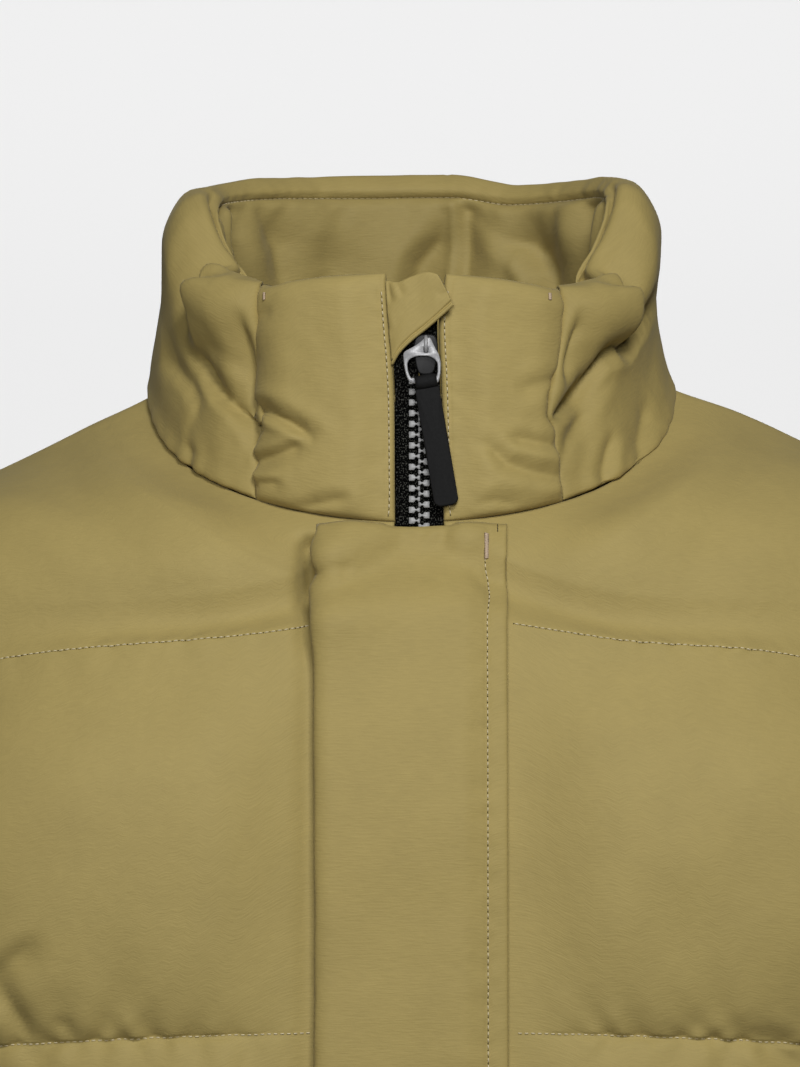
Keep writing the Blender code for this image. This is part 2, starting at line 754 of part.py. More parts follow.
def collar_front_padding(angle, rise, edge):
    """The collar's front pieces: lightly padded, thin at the zip and at their seams."""
    angle, rise = np.broadcast_arrays(np.asarray(angle, float), np.asarray(rise, float))
    from_seam = np.radians(angle - PANEL_SEAM_ANGLE) * NECK_HALF_WIDTH
    from_zip = np.radians(corner_angle(edge) - angle) * NECK_HALF_WIDTH
    up = edge_fade(rise * 0.11, 0.018) * edge_fade((1.06 - rise) * 0.11, 0.022)
    across = edge_fade(from_zip, 0.032) * edge_fade(from_seam, 0.016)
    return COLLAR_FRONT_PADDING * up * across


def zip_edges():
    """How far the two fronts' edges at the zip lie from the garment's middle: left, right."""
    return ZIP_MIDDLE + ZIP_HALF_GAP, ZIP_HALF_GAP - ZIP_MIDDLE


def zip_line(top_rise):
    """The line of the zip's opening from the hem to the collar's top, and its normals."""
    edge = zip_edges()[0]
    levels = front_levels(edge)
    levels = levels[levels <= NECK_FRONT_LEVEL]
    low = torso_point(0.0, levels, True, edge)
    rises = np.linspace(0, top_rise, COLLAR_RINGS + 1)[1:]
    high = collar_point(corner_angle(edge), rises)
    line = np.concatenate([low, high])[:, 1:]
    along = unit(np.gradient(line, axis=0))
    return line, np.stack([-along[:, 1], along[:, 0]], axis=-1)


def strip(name, line, normals, x_from, x_to, near, far, finish):
    """A flat strip along the zip's line, between two depths behind the seam surface."""
    x = np.array([x_from, x_to])
    skins = []
    for depth in (near, far):
        path = line - normals * depth
        grid = np.empty((2, len(path), 3))
        grid[..., 0] = x[:, None]
        grid[..., 1:] = path[None]
        skins.append(grid.reshape(-1, 3))
    wall(name, skins[0], skins[1], grid_faces(2, len(line), False), finish)


def make_body():
    """The fronts, the back, the sleeves and the collar, which share points at their seams."""
    left_edge, right_edge = zip_edges()
    sides = (("left", left_edge, False), ("right", right_edge, True))
    pieces = []
    half = back_grid()
    level_count = int((back_levels() <= NECK_BACK_LEVEL).sum())
    padding = back_padding(half)
    pieces.append(piece_of("back", half[::-1], padding[::-1]))
    pieces.append(piece_of("back", half * [-1.0, 1.0, 1.0], padding))
    for piece, centre in ((pieces[0], -1), (pieces[1], 0)):
        piece["normals"][centre, :level_count, 0] = 0
        piece["normals"] = unit(piece["normals"])
    for side, edge, mirror in sides:
        front = front_grid(edge)
        pad = front_padding(front, edge)
        sleeve = sleeve_grid(edge)
        sleeve_pad = sleeve_padding(edge)
        stand_angles = front_neck_angles(edge)
        rises = np.linspace(0, 1, COLLAR_RINGS + 1)[None, :]
        stand = collar_point(stand_angles[:, None], rises)
        stand_pad = collar_front_padding(stand_angles[:, None], rises, edge)
        if mirror:
            front, pad = flipped(front), pad[::-1]
            sleeve, sleeve_pad = flipped(sleeve), sleeve_pad[::-1]
            stand, stand_pad = flipped(stand), stand_pad[::-1]
        centre = -1 if mirror else 0
        pieces.append(piece_of(f"front_{side}", front, pad))
        pieces[-1]["normals"][centre, :, 0] *= levels_on_neck(edge)
        pieces.append(piece_of(f"sleeve_{side}", sleeve, sleeve_pad, closed=True))
        pieces[-1]["normals"][:, 0] = armhole_outward(sleeve[:, 0]) * ARMHOLE_RULES
        pieces.append(piece_of(f"collar_front_{side}", stand, stand_pad))
        pieces[-1]["normals"][centre, :, 0] = 0
    pieces.append(collar_back_piece())
    join_pieces(pieces)
    for name in sorted({piece["name"] for piece in pieces}):
        wall_of([piece for piece in pieces if piece["name"] == name])
    return pieces


def levels_on_neck(edge):
    """0 for a row that starts at the zip, 1 for one that starts on the neckline."""
    return (front_levels(edge) > NECK_FRONT_LEVEL).astype(float)


def front_neck_angles(edge):
    """The angles at which the front's rows start on the neckline, up to the collar's seam."""
    corner = corner_angle(edge)
    return np.array([corner, (corner + PANEL_SEAM_ANGLE) / 2, PANEL_SEAM_ANGLE])


def collar_back_piece():
    angles = collar_angles()[:, None]
    rises = np.linspace(0, 1, COLLAR_RINGS + 1)[None, :]
    half = collar_point(angles, rises)
    padding = collar_padding(angles, rises)
    points = np.concatenate([half, (half * [-1.0, 1.0, 1.0])[::-1][1:]])
    return piece_of("collar_back", points, np.concatenate([padding, padding[::-1][1:]]))


def make_lining(pieces):
    """The lining lies inside the collar's wall, point for point, from just above the neckline
    to the line where the rolled top ends."""
    shell = next(piece for piece in pieces if piece["name"] == "collar_back")
    skin = (shell["points"] - shell["normals"] * (SEAM_WALL + GAP))[:, 1:-1]
    inner = skin - grid_normals(skin) * LINING_WALL
    faces = grid_faces(skin.shape[0], skin.shape[1], False)
    wall("collar_lining", skin.reshape(-1, 3), inner.reshape(-1, 3), faces, "cloth")


def flap_grid(pieces):
    """The fronts' surface under the storm flap, read off their own columns."""
    left_edge, right_edge = zip_edges()
    left, right = (
        next(piece["points"] for piece in pieces if piece["name"] == name)
        for name in ("front_left", "front_right")
    )
    rows = int((front_levels(left_edge) < FLAP_TOP_LEVEL).sum())
    free, seam = (FLAP_FREE, FLAP_SEAM)
    xs = (free, free + FLAP_ROLL, (free - right_edge) / 2, -right_edge)
    columns = [column_at(right[-2:, :rows], x) for x in xs]
    xs = (left_edge, (seam + left_edge) / 2, seam - FLAP_ROLL, seam)
    columns += [column_at(left[:2, :rows], x) for x in xs]
    return np.stack(columns)


def column_at(pair, x):
    """The line between two columns of a grid where every row crosses this x. Past the first
    column it runs straight on."""
    share = (x - pair[0, :, 0]) / (pair[1, :, 0] - pair[0, :, 0])
    column = pair[0] + (pair[1] - pair[0]) * share[:, None]
    column[:, 0] = x
    return column


def make_flap(pieces):
    base = flap_grid(pieces)
    normals = grid_normals(base)
    from_free, to_seam = distance_in(base, 0)
    levels = np.arange(base.shape[1])
    ends = edge_fade(levels * 0.02, 0.02) * edge_fade((base.shape[1] - 1 - levels) * 0.02, 0.02)
    puff = FLAP_PUFF * edge_fade(from_free, 0.010) * edge_fade(to_seam, 0.016) * ends[None, :]
    inner = base + normals * FLAP_CLEAR
    outer = base + normals * (FLAP_CLEAR + FLAP_WALL + puff)[..., None]
    faces = grid_faces(base.shape[0], base.shape[1], False)
    wall("storm_flap", outer.reshape(-1, 3), inner.reshape(-1, 3), faces, "cloth")


def prism(name, outline, along, low, high, finish):
    """A flat outline, carried along an axis from low to high: outline points are given in the
    other two axes, in their X, Y, Z order."""
    count = len(outline)
    points = np.zeros((2, count, 3))
    rest = [axis for axis in range(3) if axis != along]
    for k, at in enumerate((low, high)):
        points[k][:, rest] = outline
        points[k][:, along] = at
    ring = np.arange(count)
    sides = np.stack([ring, np.roll(ring, -1), np.roll(ring, -1) + count, ring + count], -1)
    faces = [tuple(face) for face in sides.tolist()]
    faces += [tuple(ring[::-1].tolist()), tuple((ring + count).tolist())]
    obj = add_object(name, points.reshape(-1, 3), faces, finish)
    face_out(obj)
    return obj


def face_out(obj):
    shape = bmesh.new()
    shape.from_mesh(obj.data)
    bmesh.ops.recalc_face_normals(shape, faces=shape.faces)
    shape.to_mesh(obj.data)
    shape.free()


def join_shape(obj, helper):
    """Joins a helper's shape to an object. The helper is left out of renders."""
    helper.hide_render = True
    helper.display_type = "WIRE"
    union = obj.modifiers.new(helper.name, "BOOLEAN")
    union.operation = "UNION"
    union.object = helper


def zip_place(height):
    """Where the zip's opening lies at a height, from front to back."""
    line, _ = zip_line(ZIP_TOP_RISE)
    return np.interp(height, line[:, 1], line[:, 0])


def hinge_point():
    face = zip_place(HINGE_HEIGHT) - SLIDER_FRONT
    return np.array([HINGE_X, face - HINGE_OUT, HINGE_HEIGHT])


def foot_point():
    """The middle of the ring's foot, which the tab turns about."""
    tilt = math.radians(PULL_TILT)
    reach = RING_LENGTH - RING_BAR
    return hinge_point() - np.array([0, math.sin(tilt), math.cos(tilt)]) * reach


def empty_at(name, point, tilt=0.0, lean=0.0):
    """An empty on a joint's axis, its lower end swung forward by the tilt and sideways by the
    lean."""
    made = bpy.data.objects.new(name, None)
    made.location = point
    made.rotation_mode = "YXZ"
    made.rotation_euler = (-math.radians(tilt), -math.radians(lean), 0)
    bpy.context.scene.collection.objects.link(made)
    return made


def make_zip():
    left_edge, right_edge = zip_edges()
    line, normals = zip_line(ZIP_TOP_RISE)
    depths = (TAPE_DEPTH, TAPE_DEPTH + TAPE_WALL)
    middle = ZIP_MIDDLE
    strip("zip_tape_left", line, normals, middle + GAP / 2, left_edge - GAP, *depths, "tape")
    strip("zip_tape_right", line, normals, -right_edge + GAP, middle - GAP / 2, *depths, "tape")
    top = HINGE_HEIGHT - SLIDER_LOW - GAP
    below = line[:, 1] < top
    end = np.array([[np.interp(top, line[:, 1], line[:, 0]), top]])
    chain = np.concatenate([line[below], end])
    facing = np.concatenate([normals[below], normals[below][-1:]])
    depths = (TAPE_DEPTH - GAP - CHAIN_WALL, TAPE_DEPTH - GAP)
    half = CHAIN_WIDTH / 2
    strip("zip_chain", chain, facing, middle - half, middle + half, *depths, "teeth")


def make_slider(hinge):
    """The slider's body and the arch on its face that the ring hangs from."""
    face = HINGE_OUT
    body = bpy.data.meshes.new("zip_slider")
    shape = bmesh.new()
    bmesh.ops.create_cube(shape, size=1)
    depth = SLIDER_FRONT + SLIDER_BACK
    bmesh.ops.scale(shape, vec=(SLIDER_WIDTH, depth, SLIDER_LOW + SLIDER_HIGH), verts=shape.verts)
    middle = (0, face + depth / 2, (SLIDER_HIGH - SLIDER_LOW) / 2)
    bmesh.ops.translate(shape, vec=middle, verts=shape.verts)
    bmesh.ops.bevel(shape, geom=shape.edges[:], offset=SLIDER_ROUND, segments=2, affect="EDGES")
    shape.to_mesh(body)
    shape.free()
    body.materials.append(material("zip_slider", "slider"))
    slider = bpy.data.objects.new("zip_slider", body)
    bpy.context.scene.collection.objects.link(slider)
    slider.parent = hinge
    sunk = face + BAIL_SUNK
    tall, hollow, slant = BAIL_HALF_HEIGHT, BAIL_HALF_HOLLOW, BAIL_SLANT
    out, hollow_out = face - BAIL_OUT, face - BAIL_HOLLOW_OUT
    outline = [(sunk, -tall), (out, slant - tall), (out, tall - slant), (sunk, tall)]
    outline += [(sunk, hollow), (hollow_out, hollow), (hollow_out, -hollow), (sunk, -hollow)]
    bail = prism("bail", outline, 0, -BAIL_WIDTH / 2, BAIL_WIDTH / 2, "slider")
    bail.parent = hinge
    join_shape(slider, bail)


def ring_loop(low, high, narrower):
    """A bell-shaped loop: widest at one height, narrower to the top and a little to the foot.
    The height is a cosine and the width a flattened sine of the angle round the loop."""
    turn = np.linspace(0, 2 * np.pi, RING_POINTS, endpoint=False)
    height = (low + high) / 2 + (high - low) / 2 * np.cos(turn)
    width = RING_HALF_WIDTH - narrower
    width = width - RING_TOP_NARROWER * ease(RING_WIDE_AT, high, height)
    width = width - RING_FOOT_NARROWER * ease(-RING_WIDE_AT, -low, -height)
    return np.stack([np.sign(np.sin(turn)) * np.abs(np.sin(turn)) ** 0.45 * width, height], -1)


def make_ring(hinge):
    half = RING_BAR / 2
    foot = half - RING_LENGTH
    outer = ring_loop(foot, half, 0)
    inner = ring_loop(foot + RING_BAR, -half, RING_SIDE)
    loops = []
    for loop, y in ((outer, -half), (outer, half), (inner, half), (inner, -half)):
        loops.append(np.stack([loop[:, 0], np.full(RING_POINTS, y), loop[:, 1]], axis=-1))
    ring = round_loop("pull_ring", np.stack(loops, axis=1), "ring")
    ring.parent = hinge


def round_loop(name, corners, finish):
    """A closed bar: its corners are points of its cross-section, in order, at each place
    round it."""
    count = corners.shape[:2]
    index = np.arange(count[0] * count[1]).reshape(count)
    following = np.roll(index, -1, axis=0)
    quads = [index, following, np.roll(following, -1, axis=1), np.roll(index, -1, axis=1)]
    faces = np.stack(quads, axis=-1).reshape(-1, 4).tolist()
    loop = add_object(name, corners.reshape(-1, 3), faces, finish)
    face_out(loop)
    return loop


def make_tab(foot):
    """The tab's plate with rounded lower corners, and the loop that holds the ring's foot."""
    outer = TAB_LOOP_HOLE + TAB_LOOP_WALL
    wide, corner = TAB_HALF_WIDTH, TAB_CORNER
    turn = np.radians(np.linspace(0, 90, 6))
    arc = np.stack([np.cos(turn), -np.sin(turn)], axis=-1) * corner
    right = arc + [wide - corner, -TAB_LENGTH + corner]
    left = (right * [-1, 1])[::-1]
    top = -TAB_LOOP_HOLE - TAB_LOOP_WALL / 2
    chamfer = TAB_CHAMFER
    upper = [(-wide, top - chamfer), (-wide + chamfer, top), (wide - chamfer, top)]
    upper.append((wide, top - chamfer))
    outline = np.concatenate([right, left, upper])
    tab = prism("pull_tab", outline, 1, -TAB_WALL / 2, TAB_WALL / 2, "tab")
    tab.parent = foot
    turn = np.linspace(0, 2 * np.pi, TAB_LOOP_SIDES, endpoint=False)
    circle = np.stack([np.cos(turn), np.sin(turn)], axis=-1)
    half = TAB_LOOP_HALF_WIDTH
    hole = TAB_LOOP_HOLE
    loops = []
    for radius, x in ((outer, -half), (outer, half), (hole, half), (hole, -half)):
        loops.append(np.column_stack([np.full(TAB_LOOP_SIDES, x), circle * radius]))
    loop = round_loop("tab_loop", np.stack(loops, axis=1), "tab")
    loop.parent = foot
    join_shape(tab, loop)


def make_guard():
    """The folded cloth over the zip's top, fixed to the wearer's right collar front and
    standing further off the zip towards its free point."""
    right_edge = zip_edges()[1]
    u = np.linspace(0, 1, 6)[:, None]
    v = np.linspace(0, 1, 6)[None, :]
    corners = [np.array(corner) for corner in GUARD_CORNERS]
    low = corners[0] + (corners[1] - corners[0]) * u[..., None]
    high = corners[3] + (corners[2] - corners[3]) * u[..., None]
    flat = low + (high - low) * v[..., None]
    x, z = flat[..., 0], flat[..., 1]
    angle = np.degrees(np.arccos(np.clip(np.abs(x) / NECK_HALF_WIDTH, 0, 1)))
    foot = neck_point(angle)[..., 2]
    top = smooth_curve(COLLAR_TOP["angle"], COLLAR_TOP["height"], angle)
    rise = (z - foot) / (top - foot)
    surface = collar_point(angle, rise)[..., 1]
    under = np.where(x < 0, collar_front_padding(angle, rise, right_edge), 0)
    stand = under + 2 * GAP + GUARD_STANDS_OFF * u**1.3
    inner = np.stack([x, surface - stand, z], axis=-1)
    outer = inner - np.array([0, GUARD_WALL, 0])
    faces = grid_faces(6, 6, False)
    wall("zip_guard", outer.reshape(-1, 3), inner.reshape(-1, 3), faces, "cloth")


def main():
    clear_scene()
    pieces = make_body()
    make_lining(pieces)
    make_flap(pieces)
    make_guard()
    make_zip()
    make_slider(empty_at("slider_place", hinge_point()))
    make_ring(empty_at("ring_hinge", hinge_point(), PULL_TILT))
    make_tab(empty_at("tab_hinge", foot_point(), PULL_TILT, TAB_LEAN))


main()
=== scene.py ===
# %% [markdown]
# A puffer parka, dressed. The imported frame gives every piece's place and what it rides on. This
# script gives the cloth, the padding, the stitching, the zip and the light. It is a lesson in
# cells: each one makes one thing and prints what it made. The parka faces -Y, and the left and
# right of its pieces are the wearer's.

# %% Load the frame
import math

import bpy
import numpy as np
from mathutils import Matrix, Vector
from mathutils.geometry import tessellate_polygon


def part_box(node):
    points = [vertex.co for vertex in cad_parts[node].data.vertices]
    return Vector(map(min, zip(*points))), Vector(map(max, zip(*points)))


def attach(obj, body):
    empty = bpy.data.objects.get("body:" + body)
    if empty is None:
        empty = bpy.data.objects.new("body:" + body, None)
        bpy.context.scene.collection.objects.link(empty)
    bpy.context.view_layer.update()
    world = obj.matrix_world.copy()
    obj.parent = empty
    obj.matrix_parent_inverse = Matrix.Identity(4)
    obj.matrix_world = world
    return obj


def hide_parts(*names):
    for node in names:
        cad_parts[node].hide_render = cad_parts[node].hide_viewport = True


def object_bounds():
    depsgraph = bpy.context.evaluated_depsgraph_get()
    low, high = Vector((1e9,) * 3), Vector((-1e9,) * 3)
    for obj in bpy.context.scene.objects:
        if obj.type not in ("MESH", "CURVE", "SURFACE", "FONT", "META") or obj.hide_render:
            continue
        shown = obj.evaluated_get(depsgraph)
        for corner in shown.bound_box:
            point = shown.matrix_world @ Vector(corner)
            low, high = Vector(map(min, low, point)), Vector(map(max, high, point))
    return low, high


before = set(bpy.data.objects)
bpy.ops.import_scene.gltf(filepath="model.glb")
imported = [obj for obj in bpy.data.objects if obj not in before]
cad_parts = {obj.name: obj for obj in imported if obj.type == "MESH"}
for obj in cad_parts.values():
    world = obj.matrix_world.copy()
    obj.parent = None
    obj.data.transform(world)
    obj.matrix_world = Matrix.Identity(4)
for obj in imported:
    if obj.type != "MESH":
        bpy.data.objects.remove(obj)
cad_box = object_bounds()

# %% [markdown]
# The photograph is a close view of the collar and the upper chest, taken level with it through
# a long lens. The zip's tooth chain is about 8 mm wide and covers 19 pixels, so a pixel is 0.43
# mm on the chest. A camera 2.6 m away with that scale gives the photograph's framing, and the
# garment's middle lies at pixel 412 of 800. The lens is worked out from the frame's height.

# %% Camera
PIXEL = 0.000432
CHEST = -0.1
CAMERA_AWAY = 2.6
MIDDLE_PIXEL = (412, 390)
IMAGE = (800, 1067)


def make_camera():
    """Level with the image's middle, square to the chest. Lens = sensor * distance / height."""
    data = bpy.data.cameras.new("camera")
    data.sensor_fit = "VERTICAL"
    data.sensor_height = 36
    height = IMAGE[1] * PIXEL
    data.lens = data.sensor_height * (CAMERA_AWAY + CHEST) / height
    data.clip_end = 50
    camera = bpy.data.objects.new("camera", data)
    x = (IMAGE[0] / 2 - MIDDLE_PIXEL[0]) * PIXEL
    z = (MIDDLE_PIXEL[1] - IMAGE[1] / 2) * PIXEL
    camera.location = (x, -CAMERA_AWAY, z)
    camera.rotation_euler = (math.radians(90), 0, 0)
    bpy.context.scene.collection.objects.link(camera)
    bpy.context.scene.camera = camera
    return camera


camera = make_camera()
print("camera at", tuple(round(x, 3) for x in camera.location), "lens", round(camera.data.lens))

# %% [markdown]
# The studio is a pale floor that curves up far behind the parka. A broad soft key stands high
# and a little to the right of the camera, a second one lower and to the left, and a weak one
# overhead. One light behind serves the back of the parka only, and two light the backdrop. The
# stage gives no light back, so that the folds stay as dark as in the photograph. The floor lies
# below the hem, since the wearer's neck carries the parka and nothing stands on the floor.

# %% Stage and light
FLOOR_BELOW = 0.35
BACKDROP_AWAY = 9.0
BEND_RADIUS = 1.6
STAGE_HALF_WIDTH = 12.0
WALL_HEIGHT = 7.0
WORLD_STRENGTH = 0.035
LIGHTS = (
    ("key", (0.45, -2.5, 1.6), (0, 0, -0.1), (0.8, 0.8), 56),
    ("fill", (-0.25, -3.0, 0.4), (0, 0, -0.1), (0.9, 0.9), 39),
    ("top", (0.2, 0.3, 2.2), (0, 0, 0), (1.6, 1.2), 4),
    ("behind", (0, 3.2, -0.15), (0, 0, -0.35), (0.9, 0.9), 80),
    ("backdrop_left", (-2.2, 6.7, 1.2), (-0.6, 10.6, 0.6), (2.0, 2.5), 114),
    ("backdrop_right", (2.2, 6.7, 1.2), (0.6, 10.6, 0.6), (2.0, 2.5), 114),
)


def make_stage():
    """A sheet carried along a profile: flat, a quarter circle up, then a wall."""
    floor = cad_box[0][2] - FLOOR_BELOW
    turn = np.linspace(0, math.pi / 2, 24)
    bend_y = BACKDROP_AWAY + BEND_RADIUS * np.sin(turn)
    bend_z = floor + BEND_RADIUS * (1 - np.cos(turn))
    y = np.concatenate([[-STAGE_HALF_WIDTH], bend_y, [BACKDROP_AWAY + BEND_RADIUS]])
    z = np.concatenate([[floor], bend_z, [floor + WALL_HEIGHT]])
    x = np.array([-STAGE_HALF_WIDTH, STAGE_HALF_WIDTH])
    points = np.stack(np.broadcast_arrays(x[:, None], y[None, :], z[None, :]), axis=-1)
    index = np.arange(2 * len(y)).reshape(2, -1)
    faces = np.stack([index[0, :-1], index[1, :-1], index[1, 1:], index[0, 1:]], axis=-1)
    mesh = bpy.data.meshes.new("stage")
    mesh.from_pydata(points.reshape(-1, 3).tolist(), [], faces.tolist())
    mesh.shade_smooth()
    stage = bpy.data.objects.new("stage", mesh)
    bpy.context.scene.collection.objects.link(stage)
    paper = bpy.data.materials.new("pale_paper")
    paper.use_nodes = True
    shader = paper.node_tree.nodes["Principled BSDF"]
    shader.inputs["Base Color"].default_value = (0.87, 0.87, 0.87, 1)
    shader.inputs["Roughness"].default_value = 0.95
    mesh.materials.append(paper)
    stage.visible_diffuse = False
    stage.visible_glossy = False


def area_light(name, place, aim, size, power):
    """An oblong light at a place, turned to aim at a point."""
    data = bpy.data.lights.new(name, "AREA")
    data.shape = "RECTANGLE"
    data.size, data.size_y = size
    data.energy = power
    light = bpy.data.objects.new(name, data)
    light.location = place
    light.visible_camera = False
    light.rotation_euler = (Vector(aim) - Vector(place)).to_track_quat("-Z", "Y").to_euler()
    bpy.context.scene.collection.objects.link(light)


make_stage()
world = bpy.data.worlds.new("studio")
world.use_nodes = True
world.node_tree.nodes["Background"].inputs["Color"].default_value = (1, 1, 1, 1)
world.node_tree.nodes["Background"].inputs["Strength"].default_value = WORLD_STRENGTH
bpy.context.scene.world = world
bpy.context.scene.view_settings.view_transform = "Standard"
for light in LIGHTS:
    area_light(*light)
print("stage made, lights:", len(LIGHTS))

# %% [markdown]
# Sewn padding is a skin raised over the surface that its seams lie in. So the script first
# works out that seam surface, piece by piece, from short tables of the cut: a height or a
# level against a width or a lean, read with a cubic that never swings past its points. Subdividing
# a rough box would lose the true seam lines, which is why the surface is a formula here.

# %% Tables and curves
MM = 0.001
GAP = 0.0003
SEAM_WALL = 0.003


def table(columns, *rows, scale=1):
    """A short table as arrays, one for each named column."""
    return dict(zip(columns.split(), np.array(rows, float).T * scale))


def smooth_curve(x, y, at):
    """Cubic between each two points; the slope at a point is the harmonic mean of the slopes
    on its two sides, or nothing where they turn, so the curve never swings past a point."""
    step = np.diff(x)
    slope = np.diff(y) / step
    tangent = np.zeros(len(x))
    same_way = slope[:-1] * slope[1:] > 0
    mean = 2 * slope[:-1] * slope[1:] / np.where(same_way, slope[:-1] + slope[1:], 1)
    tangent[1:-1] = np.where(same_way, mean, 0)
    tangent[0], tangent[-1] = slope[0], slope[-1]
    at = np.clip(at, x[0], x[-1])
    k = np.clip(np.searchsorted(x, at, side="right") - 1, 0, len(x) - 2)
    t = (at - x[k]) / step[k]
    start = (1 + 2 * t) * (1 - t) ** 2 * y[k] + t * (1 - t) ** 2 * step[k] * tangent[k]
    end = t**2 * (3 - 2 * t) * y[k + 1] - t**2 * (1 - t) * step[k] * tangent[k + 1]
    return start + end


def read(source, column, at):
    """A table's column read against its first one."""
    return smooth_curve(next(iter(source.values())), source[column], at)


def unit(vectors):
    """Vectors of length 1 in the same directions."""
    return vectors / np.maximum(np.linalg.norm(vectors, axis=-1, keepdims=True), 1e-12)


def ease(low, high, value):
    """0 below low, 1 above high, and a smooth S between them."""
    t = np.clip((value - low) / (high - low), 0, 1)
    return t * t * (3 - 2 * t)


def bell(value, middle, width):
    """exp(-((value - middle) / width)^2), which is 1 at the middle."""
    return np.exp(-(((value - middle) / width) ** 2))


def bezier(start, leave, arrive, end, t):
    """Cubic Bezier: s^3 start + 3 s^2 t leave + 3 s t^2 arrive + t^3 end, with s = 1 - t."""
    s = 1 - t
    return s**3 * start + 3 * s**2 * t * leave + 3 * s * t**2 * arrive + t**3 * end


print("ease halfway:", ease(0, 1, 0.5))

# %% [markdown]
# The cut of the body. Levels count the quilted seams from the hem, 0, up to the first one
# below the collar, 4, and the shoulder seam, 5. Each row of the cloth is one Bezier curve from
# the zip or the neckline to the side seam or the armhole.

# %% Cut of the body
QUILT_PITCH = 0.17765
FIRST_QUILT = -0.0957
HEM = FIRST_QUILT - 4 * QUILT_PITCH
UNDERARM_LEVEL = 2.79
SHOULDER_LEVEL = 5.0
NECK_HALF_WIDTH = 0.1165
NECK_FRONT = 0.106
NECK_BACK = 0.105
NECK_DROP_FRONT = 0.057
NECK_DROP_BACK = 0.008
NECK_DROP_POWER = 0.9
NECK_FRONT_LEVEL = 4.2
NECK_BACK_LEVEL = 4.55
NECK_SEAM_ANGLE = -11.0
SHOULDER_POINT = (0.243, -0.06)
UNDERARM_POINT = (0.25, -0.314)
ARMHOLE_DISH = 0.022
ARMHOLE_SEAM_ANGLE = -13.0
ARMHOLE_DISH_FADE = 0.07
CUFF_TOP = (0.485, -0.632)
CUFF_BOTTOM = (0.37, -0.672)
SLEEVE_SWING = 0.045
ZIP_MIDDLE = 0.0031
ZIP_HALF_GAP = 0.0106
OVER_ARM_HANDLES = np.array([(0.105, -0.052), (-0.036, 0.33)])
UNDER_ARM_HANDLES = np.array([(0.034, -0.105), (-0.03, 0.12)])
BODY = table(
    "height front back half_width",
    (-0.806, 0.15, 0.142, 0.262), (-0.628, 0.151, 0.139, 0.255), (-0.452, 0.15, 0.138, 0.25),
    (-0.314, 0.15, 0.144, 0.25), (-0.2, 0.146, 0.147, 0.25), (-0.101, 0.127, 0.136, 0.25),
    (-0.057, 0.106, 0.122, 0.25), (-0.008, 0.106, 0.105, 0.25),
)
ARMHOLE_LEVELS = table(
    "level angle",
    (2.79, 180.0), (3.0, 142.0), (3.5, 98.0), (4.0, 66.0), (4.2, 55.0), (4.6, 24.0),
    (5.0, ARMHOLE_SEAM_ANGLE),
)
ROW_REACH = table(
    "level leaving arriving",
    (0.0, 0.52, 0.32), (2.79, 0.52, 0.32), (3.5, 0.48, 0.32), (4.0, 0.42, 0.34), (4.2, 0.3, 0.34),
    (4.6, 0.3, 0.33), (5.0, 0.33, 0.33),
)
ROW_START_FRONT = table(
    "level outward depth down",
    (0.0, 1.0, 0.0, 0.0), (3.9, 1.0, 0.0, 0.0), (4.2, 0.74, 0.27, 0.6), (4.6, 0.68, 0.4, 0.58),
    (5.0, 0.9, 0.0, 0.44),
)
ROW_START_BACK = table(
    "level outward depth down",
    (0.0, 1.0, 0.0, 0.0), (4.55, 0.9, 0.3, 0.24), (4.7, 0.9, 0.24, 0.3), (4.85, 0.91, 0.1, 0.36),
    (5.0, 0.9, 0.0, 0.44),
)
ROW_END = table(
    "level outward depth down",
    (0.0, 0.0, 1.0, 0.0), (2.79, 0.0, 1.0, 0.0), (3.5, 0.45, 0.85, 0.03), (4.0, 0.74, 0.62, 0.22),
    (4.6, 0.9, 0.25, 0.34), (5.0, 0.91, 0.0, 0.42),
)
SLEEVE = table(
    "along under_along depth",
    (0.0, 0.0, 0.085), (0.24, 0.08, 0.0875), (0.48, 0.34, 0.079), (0.73, 0.67, 0.068),
    (1.0, 1.0, 0.057),
)


def neck_point(angle):
    """A point of the neckline: an oval in plan, lowest at the centre front (angle 90)."""
    turn = np.radians(angle)
    front = np.sin(turn) > 0
    depth = np.where(front, NECK_FRONT, NECK_BACK)
    drop = np.where(front, NECK_DROP_FRONT, NECK_DROP_BACK)
    height = -drop * np.abs(np.sin(turn)) ** np.where(front, NECK_DROP_POWER, 2.0)
    return np.stack([NECK_HALF_WIDTH * np.cos(turn), -depth * np.sin(turn), height], axis=-1)


def arm_line(start, end, handles, along):
    """The line over or under the arm, from the armhole to the cuff."""
    start, end = np.array(start), np.array(end)
    flat = bezier(start, start + handles[0], end + handles[1], end, along[..., None])
    return np.stack([flat[..., 0], 0 * along, flat[..., 1]], axis=-1)


def sleeve_point(angle, along):
    """Each ring hangs between the line over the arm, at angle 0, and the one under it, at 180:
    middle + half * cos + depth forward * sin, dished inwards at the armhole."""
    along, angle = np.broadcast_arrays(np.asarray(along, float), np.asarray(angle, float))
    over = arm_line(SHOULDER_POINT, CUFF_TOP, OVER_ARM_HANDLES, along)
    under_along = read(SLEEVE, "under_along", along)
    under = arm_line(UNDERARM_POINT, CUFF_BOTTOM, UNDER_ARM_HANDLES, under_along)
    turn = np.radians(angle)[..., None]
    middle, half = (over + under) / 2, (over - under) / 2
    depth = read(SLEEVE, "depth", along)[..., None]
    dish = ARMHOLE_DISH * (1 - ease(0, ARMHOLE_DISH_FADE, along))[..., None]
    outward = unit(np.stack([half[..., 2], 0 * along, -half[..., 0]], axis=-1))
    ring = middle + half * np.cos(turn) + np.array([0.0, -1.0, 0.0]) * depth * np.sin(turn)
    ring = ring - outward * dish * np.sin(turn) ** 2
    ring[..., 1] -= SLEEVE_SWING * along**2
    return ring


